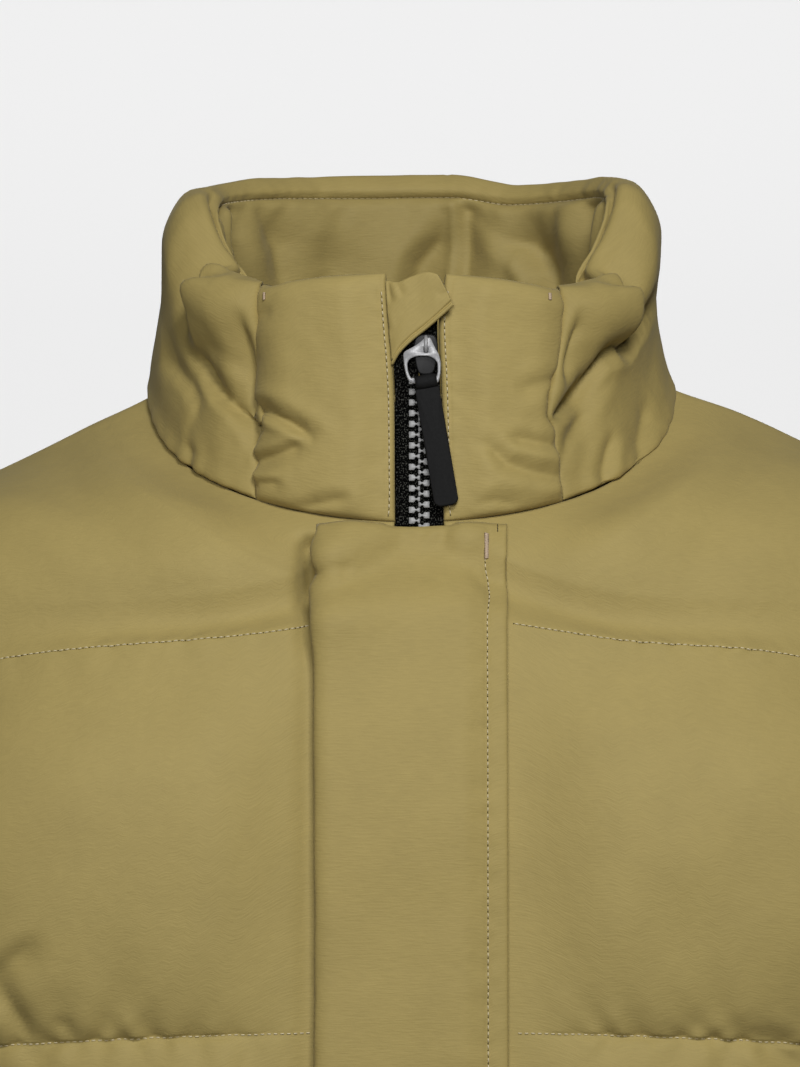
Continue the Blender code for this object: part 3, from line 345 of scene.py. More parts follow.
def armhole_back_angle(front_angle):
    """The back's share of the armhole: from under the arm round the back to the same seam."""
    share = (180 - front_angle) / (180 - ARMHOLE_SEAM_ANGLE)
    return -180 + share * (180 + ARMHOLE_SEAM_ANGLE)


def centre_height(level, neck_level, neck_height):
    """Evenly spaced quilted seams, then the last stretch up to the neckline."""
    return np.interp(level, [0, 4, neck_level], [HEM, FIRST_QUILT, neck_height])


def direction(source, way, level):
    """The direction that a table gives at a level: outward, towards front or back, down."""
    parts = [read(source, name, level) for name in ("outward", "depth", "down")]
    return unit(np.stack([parts[0], way * parts[1], -parts[2]], axis=-1))


def torso_point(across, level, front, edge=0.0):
    """A point of the body on the +X side: the row's Bezier curve at this share across."""
    across, level = np.broadcast_arrays(np.asarray(across, float), np.asarray(level, float))
    way = -1.0 if front else 1.0
    neck_level = NECK_FRONT_LEVEL if front else NECK_BACK_LEVEL
    corner = math.degrees(math.acos(edge / NECK_HALF_WIDTH)) * -way
    corner_point = neck_point(np.array(corner))
    height = centre_height(level, neck_level, corner_point[2])
    depth = read(BODY, "front" if front else "back", height)
    depth = depth + (abs(corner_point[1]) - depth) * ease(4.0, neck_level, level)
    centre = np.stack([np.full(level.shape, edge), way * depth, height], axis=-1)
    angle = np.interp(level, [neck_level, SHOULDER_LEVEL], [corner, NECK_SEAM_ANGLE])
    start = np.where((level > neck_level)[..., None], neck_point(angle), centre)
    side_height = np.interp(level, [0, UNDERARM_LEVEL], [HEM, UNDERARM_POINT[1]])
    half_width = read(BODY, "half_width", side_height)
    side = np.stack([half_width, 0 * level, side_height], axis=-1)
    loop = read(ARMHOLE_LEVELS, "angle", level)
    if not front:
        loop = armhole_back_angle(loop)
    end = np.where((level > UNDERARM_LEVEL)[..., None], sleeve_point(loop, 0.0), side)
    leave = direction(ROW_START_FRONT if front else ROW_START_BACK, way, level)
    arrive = direction(ROW_END, -way, level)
    chord = np.linalg.norm(end - start, axis=-1, keepdims=True)
    out, back_in = (read(ROW_REACH, name, level)[..., None] * chord
                    for name in ("leaving", "arriving"))
    return bezier(start, start + leave * out, end - arrive * back_in, end, across[..., None])


SHOULDER_LIFT = 0.0082
SIDE_LIFT = 0.008


def evened(points, rows, level, reach, share):
    """The rows near a level set evenly between the rows at the ends of that reach, so that
    none overtakes the next. The share says how far each column takes part."""
    low, high = (int(np.argmin(np.abs(rows - level - off))) for off in (-reach, reach))
    t = ((rows[low:high] - rows[low]) / (rows[high] - rows[low]))[None, :, None]
    straight = points[:, [low]] * (1 - t) + points[:, [high]] * t
    share = share[:, None, None]
    points = points.copy()
    points[:, low:high] = points[:, low:high] * (1 - share) + straight * share
    return points


def shouldered(points):
    """The same points, with the wearer's left shoulder a little higher, as the parka hangs, and
    the quilted seam on the right of the chest drawn up a little towards the arm."""
    points = points.copy()
    drawn = SIDE_LIFT * ease(0.05, 0.19, -points[..., 0]) * ease(0.0, 0.08, -points[..., 1])
    points[..., 2] += drawn * bell(points[..., 2], -0.115, 0.06)
    lift = SHOULDER_LIFT * ease(0.08, 0.165, points[..., 0]) * ease(-0.3, -0.04, points[..., 2])
    points[..., 2] += lift
    return points


print("chest depth at the first quilt:", torso_point(0.0, 4.0, True)[1].round(3))

# %% [markdown]
# A mesh is laid over a surface as a grid. A cloth piece is a closed wall: its outer skin, its
# inner skin turned round, and a rim between their edges. The UV map holds distances along the
# cloth in metres, so that the weave keeps its size and follows the folds.

# %% Grids and walls


def grid_normals(points, closed=False):
    """Cross product of the differences along the two directions of the grid."""
    if closed:
        around = np.roll(points, -1, axis=0) - np.roll(points, 1, axis=0)
    else:
        around = np.gradient(points, axis=0)
    return unit(np.cross(around, np.gradient(points, axis=1)))


def grid_faces(count_u, count_v, closed=False):
    """Quads between the points of a grid, by the points' numbers."""
    index = np.arange(count_u * count_v).reshape(count_u, count_v)
    if closed:
        index = np.concatenate([index, index[:1]])
    corners = [index[:-1, :-1], index[1:, :-1], index[1:, 1:], index[:-1, 1:]]
    return np.stack(corners, axis=-1).reshape(-1, 4)


def rim_faces(count_u, count_v, closed=False):
    """The quads that join the outer skin's edges to the inner skin's."""
    index = np.arange(count_u * count_v).reshape(count_u, count_v)
    around = np.concatenate([index, index[:1]]) if closed else index
    edges = [(around[:-1, 0], around[1:, 0]), (around[1:, -1], around[:-1, -1])]
    if not closed:
        edges += [(index[-1, :-1], index[-1, 1:]), (index[0, 1:], index[0, :-1])]
    a = np.concatenate([pair[0] for pair in edges])
    b = np.concatenate([pair[1] for pair in edges])
    inner = index.size
    return np.stack([b, a, a + inner, b + inner], axis=-1)


def sampled(line, run, at):
    """The line's points at the given distances along it."""
    return np.stack([np.interp(at, run, column) for column in line.T], axis=-1)


def run_length(points, axis):
    """Distance along the grid from its first edge, measured over the surface."""
    steps = np.linalg.norm(np.diff(points, axis=axis), axis=-1)
    run = np.cumsum(steps, axis=axis)
    return np.concatenate([np.zeros_like(np.take(run, [0], axis=axis)), run], axis=axis)


def runs(points):
    """Distances across a grid and up it."""
    return run_length(points, 0), run_length(points, 1)


def cloth_map(points):
    """Metres across and up the cloth, counted from the grid's middle column and its foot."""
    across, up = runs(points)
    return np.stack([across - across[len(across) // 2], up], axis=-1)


def add_mesh(name, points, faces, uv=None, smooth=True):
    """Puts points and faces (all quads or all triangles) into a new object, with foreach_set.
    The UV map is given for each corner of each face."""
    mesh = bpy.data.meshes.new(name)
    sides = faces.shape[1]
    mesh.vertices.add(len(points))
    mesh.vertices.foreach_set("co", points.astype(np.float32).ravel())
    mesh.loops.add(faces.size)
    mesh.loops.foreach_set("vertex_index", faces.astype(np.int32).ravel())
    mesh.polygons.add(len(faces))
    mesh.polygons.foreach_set("loop_start", np.arange(0, faces.size, sides, dtype=np.int32))
    mesh.update(calc_edges=True)
    if uv is not None:
        layer = mesh.uv_layers.new(name="cloth")
        layer.data.foreach_set("uv", uv.astype(np.float32).ravel())
    if smooth:
        mesh.shade_smooth()
    obj = bpy.data.objects.new(name, mesh)
    bpy.context.scene.collection.objects.link(obj)
    return obj


def add_wall(name, outer, inner, closed=False):
    """A closed wall from two grids of the same size. On a tube the map runs on over the last
    step, to one whole turn, so that no weave is squeezed into it."""
    count = outer.shape[:2]
    skin, rim = grid_faces(*count, closed), rim_faces(*count, closed)
    total = count[0] * count[1]
    faces = np.concatenate([skin, skin[:, ::-1] + total, rim])
    points = np.concatenate([outer.reshape(-1, 3), inner.reshape(-1, 3)])
    whole = np.concatenate([outer, outer[:1]]) if closed else outer
    uv = cloth_map(whole).reshape(-1, 2)
    spread = grid_faces(*whole.shape[:2])
    on_rim = np.concatenate([uv[:total], uv[:total]])[rim]
    return add_mesh(name, points, faces, np.concatenate([uv[spread], uv[spread[:, ::-1]], on_rim]))


def piece_of(name, outer, inner, normals=None, closed=False, **more):
    """A wall with what the later cells read from it: its outer skin and its normals."""
    normals = grid_normals(outer) if normals is None else normals
    wall = add_wall(name, outer, inner, closed)
    return {"object": wall, "outer": outer, "normals": normals, **more}


def flipped(points):
    """The same grid on the wearer's other side, turned round so that it still faces out."""
    return (points * [-1.0, 1.0, 1.0])[::-1]


print("quads in a 3 by 4 grid:", len(grid_faces(3, 4)))

# %% [markdown]
# Real padding is never even. Broad soft hills run through it, each quilted seam gathers the
# cloth into short pulls, and a few long creases lie where the garment bends. All three are
# heights, worked out over the flat cloth and added to the padding before it is raised from the
# seam surface. Every random number has a seed, so each run makes the same parka.

# %% Hills, pulls and creases


def ripple(at, seed):
    """A smooth random line: seeded heights at the whole numbers, eased from each to the next."""
    heights = np.random.default_rng(seed).uniform(-1, 1, 1024)
    whole = np.floor(at).astype(int)
    t = ease(0, 1, at - whole)
    return heights[whole % 1024] * (1 - t) + heights[(whole + 1) % 1024] * t


def hills(u, v, size, seed):
    """Smooth random hills: seeded heights at the corners of squares, eased across each."""
    heights = np.random.default_rng(seed).uniform(-1, 1, (64, 64))
    i, j = np.floor(u / size).astype(int), np.floor(v / size).astype(int)
    s, t = ease(0, 1, u / size - i), ease(0, 1, v / size - j)
    low = heights[i % 64, j % 64] * (1 - s) + heights[(i + 1) % 64, j % 64] * s
    high = heights[i % 64, (j + 1) % 64] * (1 - s) + heights[(i + 1) % 64, (j + 1) % 64] * s
    return low * (1 - t) + high * t


def soft_hills(u, v, broad, fine, seed, shift=0.0):
    """Broad hills with finer ones on them. Each kind is given by its height and its size."""
    coarse = broad[0] * hills(u + shift, v, broad[1], seed)
    return coarse + fine[0] * hills(u, v, fine[1], seed + 1)


def crease(u, v, line, depth, width, ends=(0, 0), skew=0.0, swell=0.35):
    """A fold along a line: depth * (swell * bell beside it - exp(-distance / width)), which
    fades to its two end strengths over the last third at each end. The skew makes the side to
    the left of the line's course gentler and the other steeper."""
    lengths = np.linalg.norm(np.diff(line, axis=0), axis=1)
    starts = np.concatenate([[0], np.cumsum(lengths)])
    nearest_off = np.full(np.shape(u), np.inf)
    place, side = np.zeros(np.shape(u)), np.zeros(np.shape(u))
    for a, b, start, length in zip(line, line[1:], starts, lengths):
        way = (b - a) / length
        t = np.clip((u - a[0]) * way[0] + (v - a[1]) * way[1], 0, length)
        off = np.hypot(u - a[0] - t * way[0], v - a[1] - t * way[1])
        place = np.where(off < nearest_off, start + t, place)
        turned = way[0] * (v - a[1]) - way[1] * (u - a[0])
        side = np.where(off < nearest_off, turned, side)
        nearest_off = np.minimum(off, nearest_off)
    strength = np.interp(place / starts[-1], [0, 0.3, 0.7, 1], [ends[0], 1, 1, ends[1]])
    width = width * (1 + skew * np.clip(side / (0.4 * width), -1, 1))
    round_foot = width / 3
    valley = np.exp(-(np.hypot(nearest_off, round_foot) - round_foot) / width)
    rim = bell(nearest_off, 2.3 * width, 1.3 * width)
    return depth * strength * (swell * rim - valley)


def creased(u, v, creases, scale=(MM, MM)):
    """The sum of a table of creases. Depths and widths are in millimetres, and so are the lines
    unless the scale says otherwise."""
    return sum(crease(u, v, np.multiply(line, scale), depth * MM, width * MM, *rest)
               for line, depth, width, *rest in creases)


def pulls(across, away, pitch, reach, depth, width, seed):
    """Short folds that run off a seam, on the side where away is over 0. Each is a bell
    across, slanted a little, and fades as exp(-away / its reach). The tuples named PULLS hold
    the pitch, reach, depth and width."""
    low, high = float(across.min()), float(across.max())
    count = max(int((high - low) / pitch), 1)
    chance = np.random.default_rng(seed)
    place = low + (np.arange(count) + chance.uniform(0.1, 0.9, count)) * pitch
    slant, size, far = (chance.uniform(*ends, count) for ends in ((-0.6, 0.6), (0.3, 1), (0.5, 1.4)))
    total = np.zeros(np.shape(across))
    outside = np.maximum(away, 0)
    for at, lean, big, long in zip(place, slant, size, far):
        off = (across - at - lean * outside) / (width * (1 + outside / (reach * long)))
        fold = 0.6 * bell(np.abs(off), 1.9, 1) - bell(off, 0, 1)
        total += depth * big * fold * np.exp(-outside / (reach * long))
    return np.where(away > 0, total, 0)


def away_from(run, rows, level):
    """Distance along each column of a grid from the row at a level, measured over the cloth."""
    return run - run[:, [int(np.argmin(np.abs(rows - level)))]]


def drawn_back(points, closed=False):
    """The grid with each edge moved in by half the gap, so that pieces never share a place."""
    points = points.copy()
    points[:, 0] += unit(points[:, 1] - points[:, 0]) * GAP / 2
    points[:, -1] += unit(points[:, -2] - points[:, -1]) * GAP / 2
    if not closed:
        points[0] += unit(points[1] - points[0]) * GAP / 2
        points[-1] += unit(points[-2] - points[-1]) * GAP / 2
    return points


def edge_fade(distance, width):
    """Rises from nothing at a seam to full, as a cushion's round edge does."""
    t = np.clip(distance / width, 0, 1)
    return np.sqrt(1 - (1 - t) ** 2)


def nearest(points, line):
    """The distance of each point of a grid from a line given by close points."""
    flat = points.reshape(-1, 3)
    best = np.full(len(flat), np.inf)
    for at in line:
        best = np.minimum(best, np.linalg.norm(flat - at, axis=-1))
    return best.reshape(points.shape[:-1])


print("a hill and a ripple:", hills(0.01, 0.02, 0.05, 1).round(3), ripple(2.4, 1).round(3))

# %% [markdown]
# The front and back panels are quilted across every 178 mm. Between two seams the padding
# stands as |sin|, rounded by a power, so each channel is a soft roll. The first seam below the
# collar is shallow, because the yoke is stretched smooth over the chest there, and the next is
# deep with beaded pulls. Rows of the grid crowd at the seams and columns crowd at the front,
# where the detail is.

# %% Padded fronts
PUFF = 0.013
DEEPEST_DENT = -0.0012
ROLL_POWER = 0.62
YOKE_POWER = 1.8
FRONT_COLUMNS = 112
ROWS_IN_CHANNEL = 34
ROWS_ON_CHEST = 66
ROWS_ON_YOKE = 74
PLACKET = 0.047
CROWDING = 0.72
BEAD_HEIGHT = 0.00035
BEAD_LENGTH = 0.0031
ARMHOLE_EDGE = 0.045
UNDERARM_FADE = 0.11
SIDE_EDGE = 0.075
FLAP_PUFF_EDGE = 0.045
FLAP_HOLLOW = 0.01
NECK_PUFF_EDGE = 0.034
FRONT_HILLS = ((0.0022, 0.085), (0.0009, 0.034))
SEAM_PULLS = table(
    "level pitch reach depth width",
    (1, 0.021, 0.016, 0.0016, 0.004), (2, 0.021, 0.016, 0.0016, 0.004),
    (3, 0.015, 0.015, 0.0019, 0.0034), (4, 0.012, 0.008, 0.0005, 0.0026),
)
FRONT_CREASES = {
    "right": [
        ([(-154, -234), (-166, -242), (-182, -257)], 3.6, 4.5, (0, 1), 0.3),
        ([(-177, -250), (-169, -264), (-161, -281)], 3.4, 4, (0.3, 1)),
        ([(-150, -266), (-142, -280)], 1.8, 3.2, (0, 1)),
        ([(-160, -20), (-140, -62), (-105, -88)], 1.6, 11),
        ([(-230, -200), (-205, -170), (-190, -120)], 4, 12),
    ],
    "left": [
        ([(142, -272), (156, -282), (168, -290)], 3, 4, (0.2, 1)),
        ([(44, -247.5), (50, -258), (54, -268)], 1.6, 3.5, (0, 1)),
        ([(165, -25), (138, -60), (110, -94)], 1.6, 11),
        ([(228, -190), (206, -160), (196, -112)], 4, 12),
    ],
}


def crowded(start, end, count):
    """Numbers from start to end that crowd at both: t - crowding * sin(2 pi t) / (2 pi)."""
    t = np.linspace(0, 1, count, endpoint=False)
    return start + (end - start) * (t - CROWDING * np.sin(2 * np.pi * t) / (2 * np.pi))


def body_rows(neck_level):
    """The levels of a panel's rows, from the hem to the shoulder seam."""
    low = [crowded(k, k + 1, ROWS_IN_CHANNEL) for k in range(3)]
    yoke = np.linspace(neck_level, SHOULDER_LEVEL, ROWS_ON_YOKE + 1)
    up_to_neck = np.linspace(4, neck_level, 24, endpoint=False)
    return np.concatenate([*low, crowded(3, 4, ROWS_ON_CHEST), up_to_neck, yoke])


def channel_puff(level):
    """|sin(pi level)| to a power: a low one gives a full roll, a high one the flat yoke seam."""
    power = ROLL_POWER + (YOKE_POWER - ROLL_POWER) * ease(3.55, 3.95, level)
    return np.abs(np.sin(np.pi * level)) ** power


def seam_pulls(points, rows, seed):
    """The pulls on both sides of every quilted seam of a panel."""
    across, up = runs(points)
    total = np.zeros(across.shape)
    for level, pitch, reach, depth, width in zip(*SEAM_PULLS.values()):
        away = away_from(up, rows, level)
        for side, more in ((away, 0), (-away, 50)):
            reached = side < 6 * reach
            made = pulls(across, side, pitch, reach, depth, width, seed + int(level) + more)
            total += np.where(reached, made, 0)
        beads = BEAD_HEIGHT * ripple(across / BEAD_LENGTH, seed + int(level))
        total += beads * np.exp(-np.abs(away) / 0.003) * (1 if level < 4 else 0.4)
    return total


def body_fades(points, rows, way):
    """How full the padding may be near the neckline, the armhole and the side seam."""
    run = run_length(points, 0)
    to_side = run[-1:] - run
    neck = ease(0, NECK_PUFF_EDGE, nearest(points, neck_point(np.linspace(0, 180, 145) * way)))
    to_armhole = nearest(points, sleeve_point(np.linspace(-180, 180, 145), 0.0))
    under_arm = 1 - ease(3.0, 3.4, rows)[None, :]
    arm = edge_fade(to_armhole, ARMHOLE_EDGE) * (1 - under_arm)
    arm = arm + ease(0, UNDERARM_FADE, to_armhole) * under_arm
    side = np.where(rows < UNDERARM_LEVEL, edge_fade(to_side, SIDE_EDGE), 1)
    return neck * arm * side


def body_relief(points, rows, fades, sizes, seed):
    """Padding by channel, with broad and fine hills in it and pulls at its seams."""
    across, up = runs(points)
    soft = soft_hills(across, up, *sizes, seed)
    return ((PUFF + soft) * channel_puff(rows)[None, :] + seam_pulls(points, rows, seed)) * fades


def padded_panel(name, points, rise, rows):
    """A quilted panel: its outer skin stands off the seam surface by the rise."""
    points = drawn_back(shouldered(points))
    normals = grid_normals(points)
    outer = points + normals * np.maximum(rise, DEEPEST_DENT)[..., None]
    return piece_of(name, outer, points - normals * SEAM_WALL, rows=rows)


def front_across():
    """Shares across a front, closer together on the part that faces forward."""
    given, share = np.array([0, 0.1, 0.66, 1.0]), np.array([0, 0.09, 0.52, 1.0])
    return smooth_curve(given, share, np.linspace(0, 1, FRONT_COLUMNS))


def zip_edges():
    """How far the left and the right front's edges lie from the garment's middle."""
    return ZIP_MIDDLE + ZIP_HALF_GAP, ZIP_HALF_GAP - ZIP_MIDDLE


def make_front(side, edge, mirror, seed):
    """A front, from the zip's edge round to the side seam. The one under the flap's free edge is
    hollowed along it, so that the flap's shadow is wide and soft."""
    rows = body_rows(NECK_FRONT_LEVEL)
    points = torso_point(front_across()[:, None], rows[None, :], True, edge)
    x, z = points[..., 0], points[..., 2]
    rise = body_relief(points, rows, body_fades(points, rows, 1), FRONT_HILLS, seed)
    rise = rise * ease(PLACKET - 0.006, PLACKET + FLAP_PUFF_EDGE, x)
    lines = creased(-x if mirror else x, z, FRONT_CREASES[side])
    rise = rise + lines * ease(0, 0.005, rise)
    if mirror:
        hollow = bell(x, 0.044, 0.005) * ease(-0.06, -0.07, z)
        points[..., 1] += FLAP_HOLLOW * hollow * (0.25 + 0.75 * ease(-0.12, -0.088, z))
        points, rise = flipped(points), rise[::-1]
    return padded_panel(f"front_panel_{side}", points, rise, rows)


left_edge, right_edge = zip_edges()
front_left = make_front("left", left_edge, False, 11)
front_right = make_front("right", right_edge, True, 31)
print("front panel grid:", front_left["outer"].shape[:2])

# %% [markdown]
# The back is one panel on the same quilting lines, so its grid is a half and that half turned
# over, joined down the middle. Its hills and pulls run on over the whole width, so the two
# halves aren't mirror twins.

# %% Padded back
BACK_HILLS = ((0.0024, 0.09), (0.0009, 0.036))
BACK_CREASES = [
    ([(-150, -140), (-80, -170), (0, -176)], 3.5, 12),
    ([(60, -220), (120, -190), (190, -130)], 4, 12),
    ([(-210, -400), (-150, -376), (-110, -380)], 3.5, 10),
    ([(40, -560), (110, -540), (170, -560)], 3.5, 11),
]


def make_back():
    """The padding is raised over both halves at once, so that no seam shows down the middle."""
    rows = body_rows(NECK_BACK_LEVEL)
    across = np.linspace(0, 1, 72)[:, None]
    half = torso_point(across, rows[None, :], False)
    half = evened(half, rows, NECK_BACK_LEVEL, 0.11, ease(0.03, 0.15, across[:, 0]))
    points = np.concatenate([half[::-1], (half * [-1.0, 1.0, 1.0])[1:]])
    fades = body_fades(half, rows, -1)
    fades = np.concatenate([fades[::-1], fades[1:]])
    rise = body_relief(points, rows, fades, BACK_HILLS, 51)
    rise = rise + creased(points[..., 0], points[..., 2], BACK_CREASES) * fades
    return padded_panel("back_panel", points, rise, rows)


back = make_back()
print("back panel grid:", back["outer"].shape[:2])

# %% [markdown]
# A sleeve is a tube round the arm with a seam under it, quilted across in four channels. It is
# one grid closed on itself: rings hang between the line over the arm and the line under it.
# Folds gather inside the elbow, where a hanging sleeve bends.

# %% Padded sleeves
SLEEVE_QUILTS = (0.0, 0.24, 0.48, 0.73, 1.0)
SLEEVE_AROUND = 104
SLEEVE_ROWS_IN_CHANNEL = 34
ARM_RADIUS = 0.079
SLEEVE_HILLS = ((0.002, 0.07), (0.0009, 0.03))
QUILT_PULLS = (0.019, 0.016, 0.0017, 0.004)
ARMHOLE_PULLS = (0.016, 0.02, 0.0016, 0.0035)
SLEEVE_CREASES = [
    ([(100, 330), (160, 310), (220, 325)], 5, 10),
    ([(90, 400), (150, 375), (200, 390)], 4, 9),
    ([(120, 140), (170, 160), (240, 150)], 4.5, 11),
]


def make_sleeve(side, mirror, seed):
    """Rings round the arm, from the armhole to the cuff."""
    angles = np.linspace(0, 360, SLEEVE_AROUND, endpoint=False) - 180
    channels = list(zip(SLEEVE_QUILTS, SLEEVE_QUILTS[1:]))
    rings = [crowded(a, b, SLEEVE_ROWS_IN_CHANNEL) for a, b in channels]
    rings = np.concatenate([*rings, [1.0]])
    level = np.interp(rings, SLEEVE_QUILTS, range(len(SLEEVE_QUILTS)))
    points = sleeve_point(angles[:, None], rings[None, :])
    around, up = runs(points)
    from_seam = np.radians(180 - np.abs(angles)) * ARM_RADIUS
    inside = ease(70.0, 150.0, np.abs(angles))[:, None]
    near_body = 1 - ease(0.15, 0.45, rings)[None, :]
    fade = edge_fade(from_seam, 0.06)[:, None] * (1 - 0.75 * inside * near_body)
    soft = soft_hills(around, up, *SLEEVE_HILLS, seed)
    rise = (PUFF + soft) * np.abs(np.sin(np.pi * level))[None, :] ** ROLL_POWER
    for quilt in (1, 2, 3):
        away = away_from(up, level, quilt)
        for way, more in ((1, 0), (-1, 9)):
            rise = rise + pulls(around, way * away, *QUILT_PULLS, seed + quilt + more)
    armhole = away_from(up, level, 0)
    rise = rise + pulls(around, armhole, *ARMHOLE_PULLS, seed + 20)
    rise = (rise + creased(around, up, SLEEVE_CREASES)) * fade
    if mirror:
        points, rise = flipped(points), rise[::-1]
    points = drawn_back(shouldered(points), closed=True)
    normals = grid_normals(points, closed=True)
    outer = points + normals * np.maximum(rise, -0.001)[..., None]
    inner = points - normals * SEAM_WALL
    return piece_of(f"sleeve_tube_{side}", outer, inner, normals, closed=True, rows=level)


sleeve_left = make_sleeve("left", False, 71)
sleeve_right = make_sleeve("right", True, 91)
middle = sleeve_left["outer"].mean(axis=0, keepdims=True)
facing = ((sleeve_left["outer"] - middle) * sleeve_left["normals"]).sum(axis=-1).mean()
print("sleeve normals point", "out" if facing > 0 else "in")

# %% [markdown]
# The collar is the parka's face. Its padded stand leans in a little and rolls over at the top,
# so its section is one line: up the outside, over the roll, and down to the stitched seam of
# the facing. The script carries that section round the neck. Long diagonal folds are drawn
# where the stand is bent towards the zip, and each side has its own.

# %% Collar stand
PANEL_SEAM_ANGLE = 56.4
COLLAR_TOP = {
    "left": table(
        "angle height",
        (-90, 0.102), (-78, 0.102), (-56, 0.0975), (-20, 0.0985), (5, 0.093), (12, 0.085),
        (17, 0.074), (22, 0.0625), (26, 0.0535), (30, 0.0495), (34, 0.05), (40, 0.0488),
        (46, 0.047), (56.4, 0.0448), (65, 0.047), (73, 0.0492), (90, 0.0512),
    ),
    "right": table(
        "angle height",
        (-90, 0.102), (-50, 0.1003), (-20, 0.096), (5, 0.088), (12, 0.0805), (17, 0.0705),
        (22, 0.0605), (26, 0.0545), (30, 0.0525), (34, 0.054), (40, 0.052), (46, 0.0495),
        (56.4, 0.046), (65, 0.0484), (75, 0.0502), (90, 0.051),
    ),
}
LEAN_SHARE = table(
    "angle share",
    (-90, 1.0), (-50, 0.95), (-15, 0.86), (12, 0.84), (19, 0.94), (25, 1.1), (29, 0.8), (34, 0.36),
    (44, 0.44), (58, 0.5), (90, 0.5),
)
SEAM_BOW = {
    "left": table(
        "rise turn",
        (0, -0.9), (0.07, 0.2), (0.25, 1.9), (0.34, 2.6), (0.41, 4.4), (0.51, 4.0), (0.59, 2.6),
        (0.75, 0.2), (1, -2.4),
    ),
    "right": table(
        "rise turn",
        (0, -2.0), (0.1, -2.4), (0.2, -2.4), (0.3, -0.1), (0.36, 1.4), (0.385, 1.2), (0.415, -1.6),
        (0.6, -2.9), (0.8, -3.5), (1, -4.2),
    ),
}
ZIP_BOW = {
    "left": table(
        "rise turn",
        (0, 0.0), (0.3, 0.2), (0.55, 0.6), (0.78, 1.2), (0.9, 0.6), (1, -0.6),
    ),
    "right": table(
        "rise turn",
        (0, 0.1), (0.45, 0.0), (0.62, -0.4), (0.8, -1.2), (1, -1.9),
    ),
}
COLLAR_LEAN = table(
    "rise lean",
    (0.0, 0.0), (0.12, 0.01), (0.3, 0.019), (0.5, 0.0255), (0.75, 0.028), (0.92, 0.029),
    (1.0, 0.027),
)
COLLAR_FRONT_LEAN = 0.01
COLLAR_SECTION = table(
    "run out rise",
    (0.0, -0.002, 0.0), (0.035, 0.004, 0.02), (0.08, 0.0092, 0.085), (0.2, 0.0176, 0.28),
    (0.36, 0.0216, 0.52), (0.52, 0.0205, 0.77), (0.62, 0.0158, 0.915), (0.7, 0.0068, 1.0),
    (0.77, -0.0012, 1.012), (0.84, -0.0046, 0.985), (0.9, -0.0058, 0.955), (0.96, -0.0046, 0.93),
    (1.0, -0.0032, 0.915),
)
COLLAR_CREASES = {
    "right": [
        ([(25.4, 0.557), (30.8, 0.51), (36, 0.442), (41, 0.396), (45.8, 0.371), (50.9, 0.306),
          (54.6, 0.247), (56.4, 0.22)], 8.4, 4.4, (0, 1), 0.45, 0.1),
        ([(33, 0.564), (41.7, 0.566), (47.7, 0.545), (54.6, 0.548)], 2, 6, (0, 0.7), 0.3, 0.1),
        ([(12, 0.33), (22, 0.393), (29.3, 0.393), (33.8, 0.333), (34.6, 0.273), (33.1, 0.217)], 3.4,
          5, (0, 0.3), 0.4, 0.15),
        ([(40, 0.965), (35.3, 0.945), (30, 0.9), (26, 0.9)], 5, 3.4, (0.3, 0)),
        ([(15, 0.751), (20, 0.747), (25.4, 0.743), (41.7, 0.725)], 1.8, 9),
        ([(51, 0.84), (52.5, 0.66), (52, 0.46), (53, 0.28)], 7, 5, (0, 0.3), -0.3, 0.05),
        ([(34.6, 0.007), (34.6, 0.1), (31.6, 0.14)], 1.8, 3, (1, 0)),
        ([(-4, 1.07), (8, 1.08), (18, 1.085), (26, 1.09), (33, 1.09)], 6, 3.4, (0, 0.6)),
        ([(-48, 0.66), (-30, 0.46), (-14, 0.24)], 5, 7),
        ([(-66, 0.62), (-50, 0.42), (-38, 0.26)], 4.2, 7),
        ([(-80, 0.3), (-70, 0.46), (-58, 0.52)], 2.8, 6),
    ],
    "left": [
        ([(2, 0.44), (9.4, 0.469), (23.8, 0.559), (38.9, 0.537), (43, 0.461), (45.8, 0.413),
          (51.6, 0.388), (56.4, 0.36)], 8.8, 4.2, (0.05, 1), 0.5, 0.1),
        ([(35.3, 0.487), (41.7, 0.416), (46.4, 0.329), (51.6, 0.264), (55.2, 0.189)], 3.2, 4.5,
          (0, 0.8), 0.35, 0.1),
        ([(44.4, 0.02), (44.4, 0.077), (41.7, 0.151), (37.5, 0.235)], 2.6, 3.2, (1, 0)),
        ([(31.6, 0.01), (31.6, 0.044), (29.3, 0.127), (23.8, 0.198), (18.9, 0.235)], 3, 7, (1, 0),
          0, 0.1),
        ([(55.8, 0.63), (49.7, 0.594), (41.7, 0.616), (26.9, 0.636)], 1.4, 9, (0.8, 0), 0, 0.1),
        ([(40, 0.955), (33, 0.935), (28, 0.9), (24, 0.87)], 5, 3.4, (0.3, 0)),
        ([(-4, 1.07), (8, 1.08), (18, 1.085), (26, 1.09), (33, 1.09)], 6, 3.4, (0, 0.6)),
        ([(51, 0.86), (52.5, 0.66), (50.5, 0.48)], 5.4, 4.8, (0, 0.2), -0.3, 0.05),
        ([(-79, 1.3), (-79, 1.1), (-79.5, 0.9)], 1.4, 1.1, (1, 0)),
        ([(-44, 0.7), (-26, 0.46), (-12, 0.26)], 5, 7),
        ([(-60, 0.56), (-46, 0.38), (-36, 0.2)], 4.2, 7),
        ([(-84, 0.66), (-72, 0.52), (-66, 0.34)], 3, 6),
    ],
}
STAND_HILLS = ((0.0008, 0.04), (0.0004, 0.016))
FOOT_PULLS = (0.011, 0.01, 0.0005, 0.0024)
FACING_PULLS = (0.01, 0.007, 0.0007, 0.0022)
FOOT_SLIM = {"left": 0.26, "right": 0.0}
COLLAR_AROUND = 146
COLLAR_ROWS = 84
COLLAR_WALL = 0.0014
CREASE_SPAN = 0.112
COLLAR_RUN = 0.116


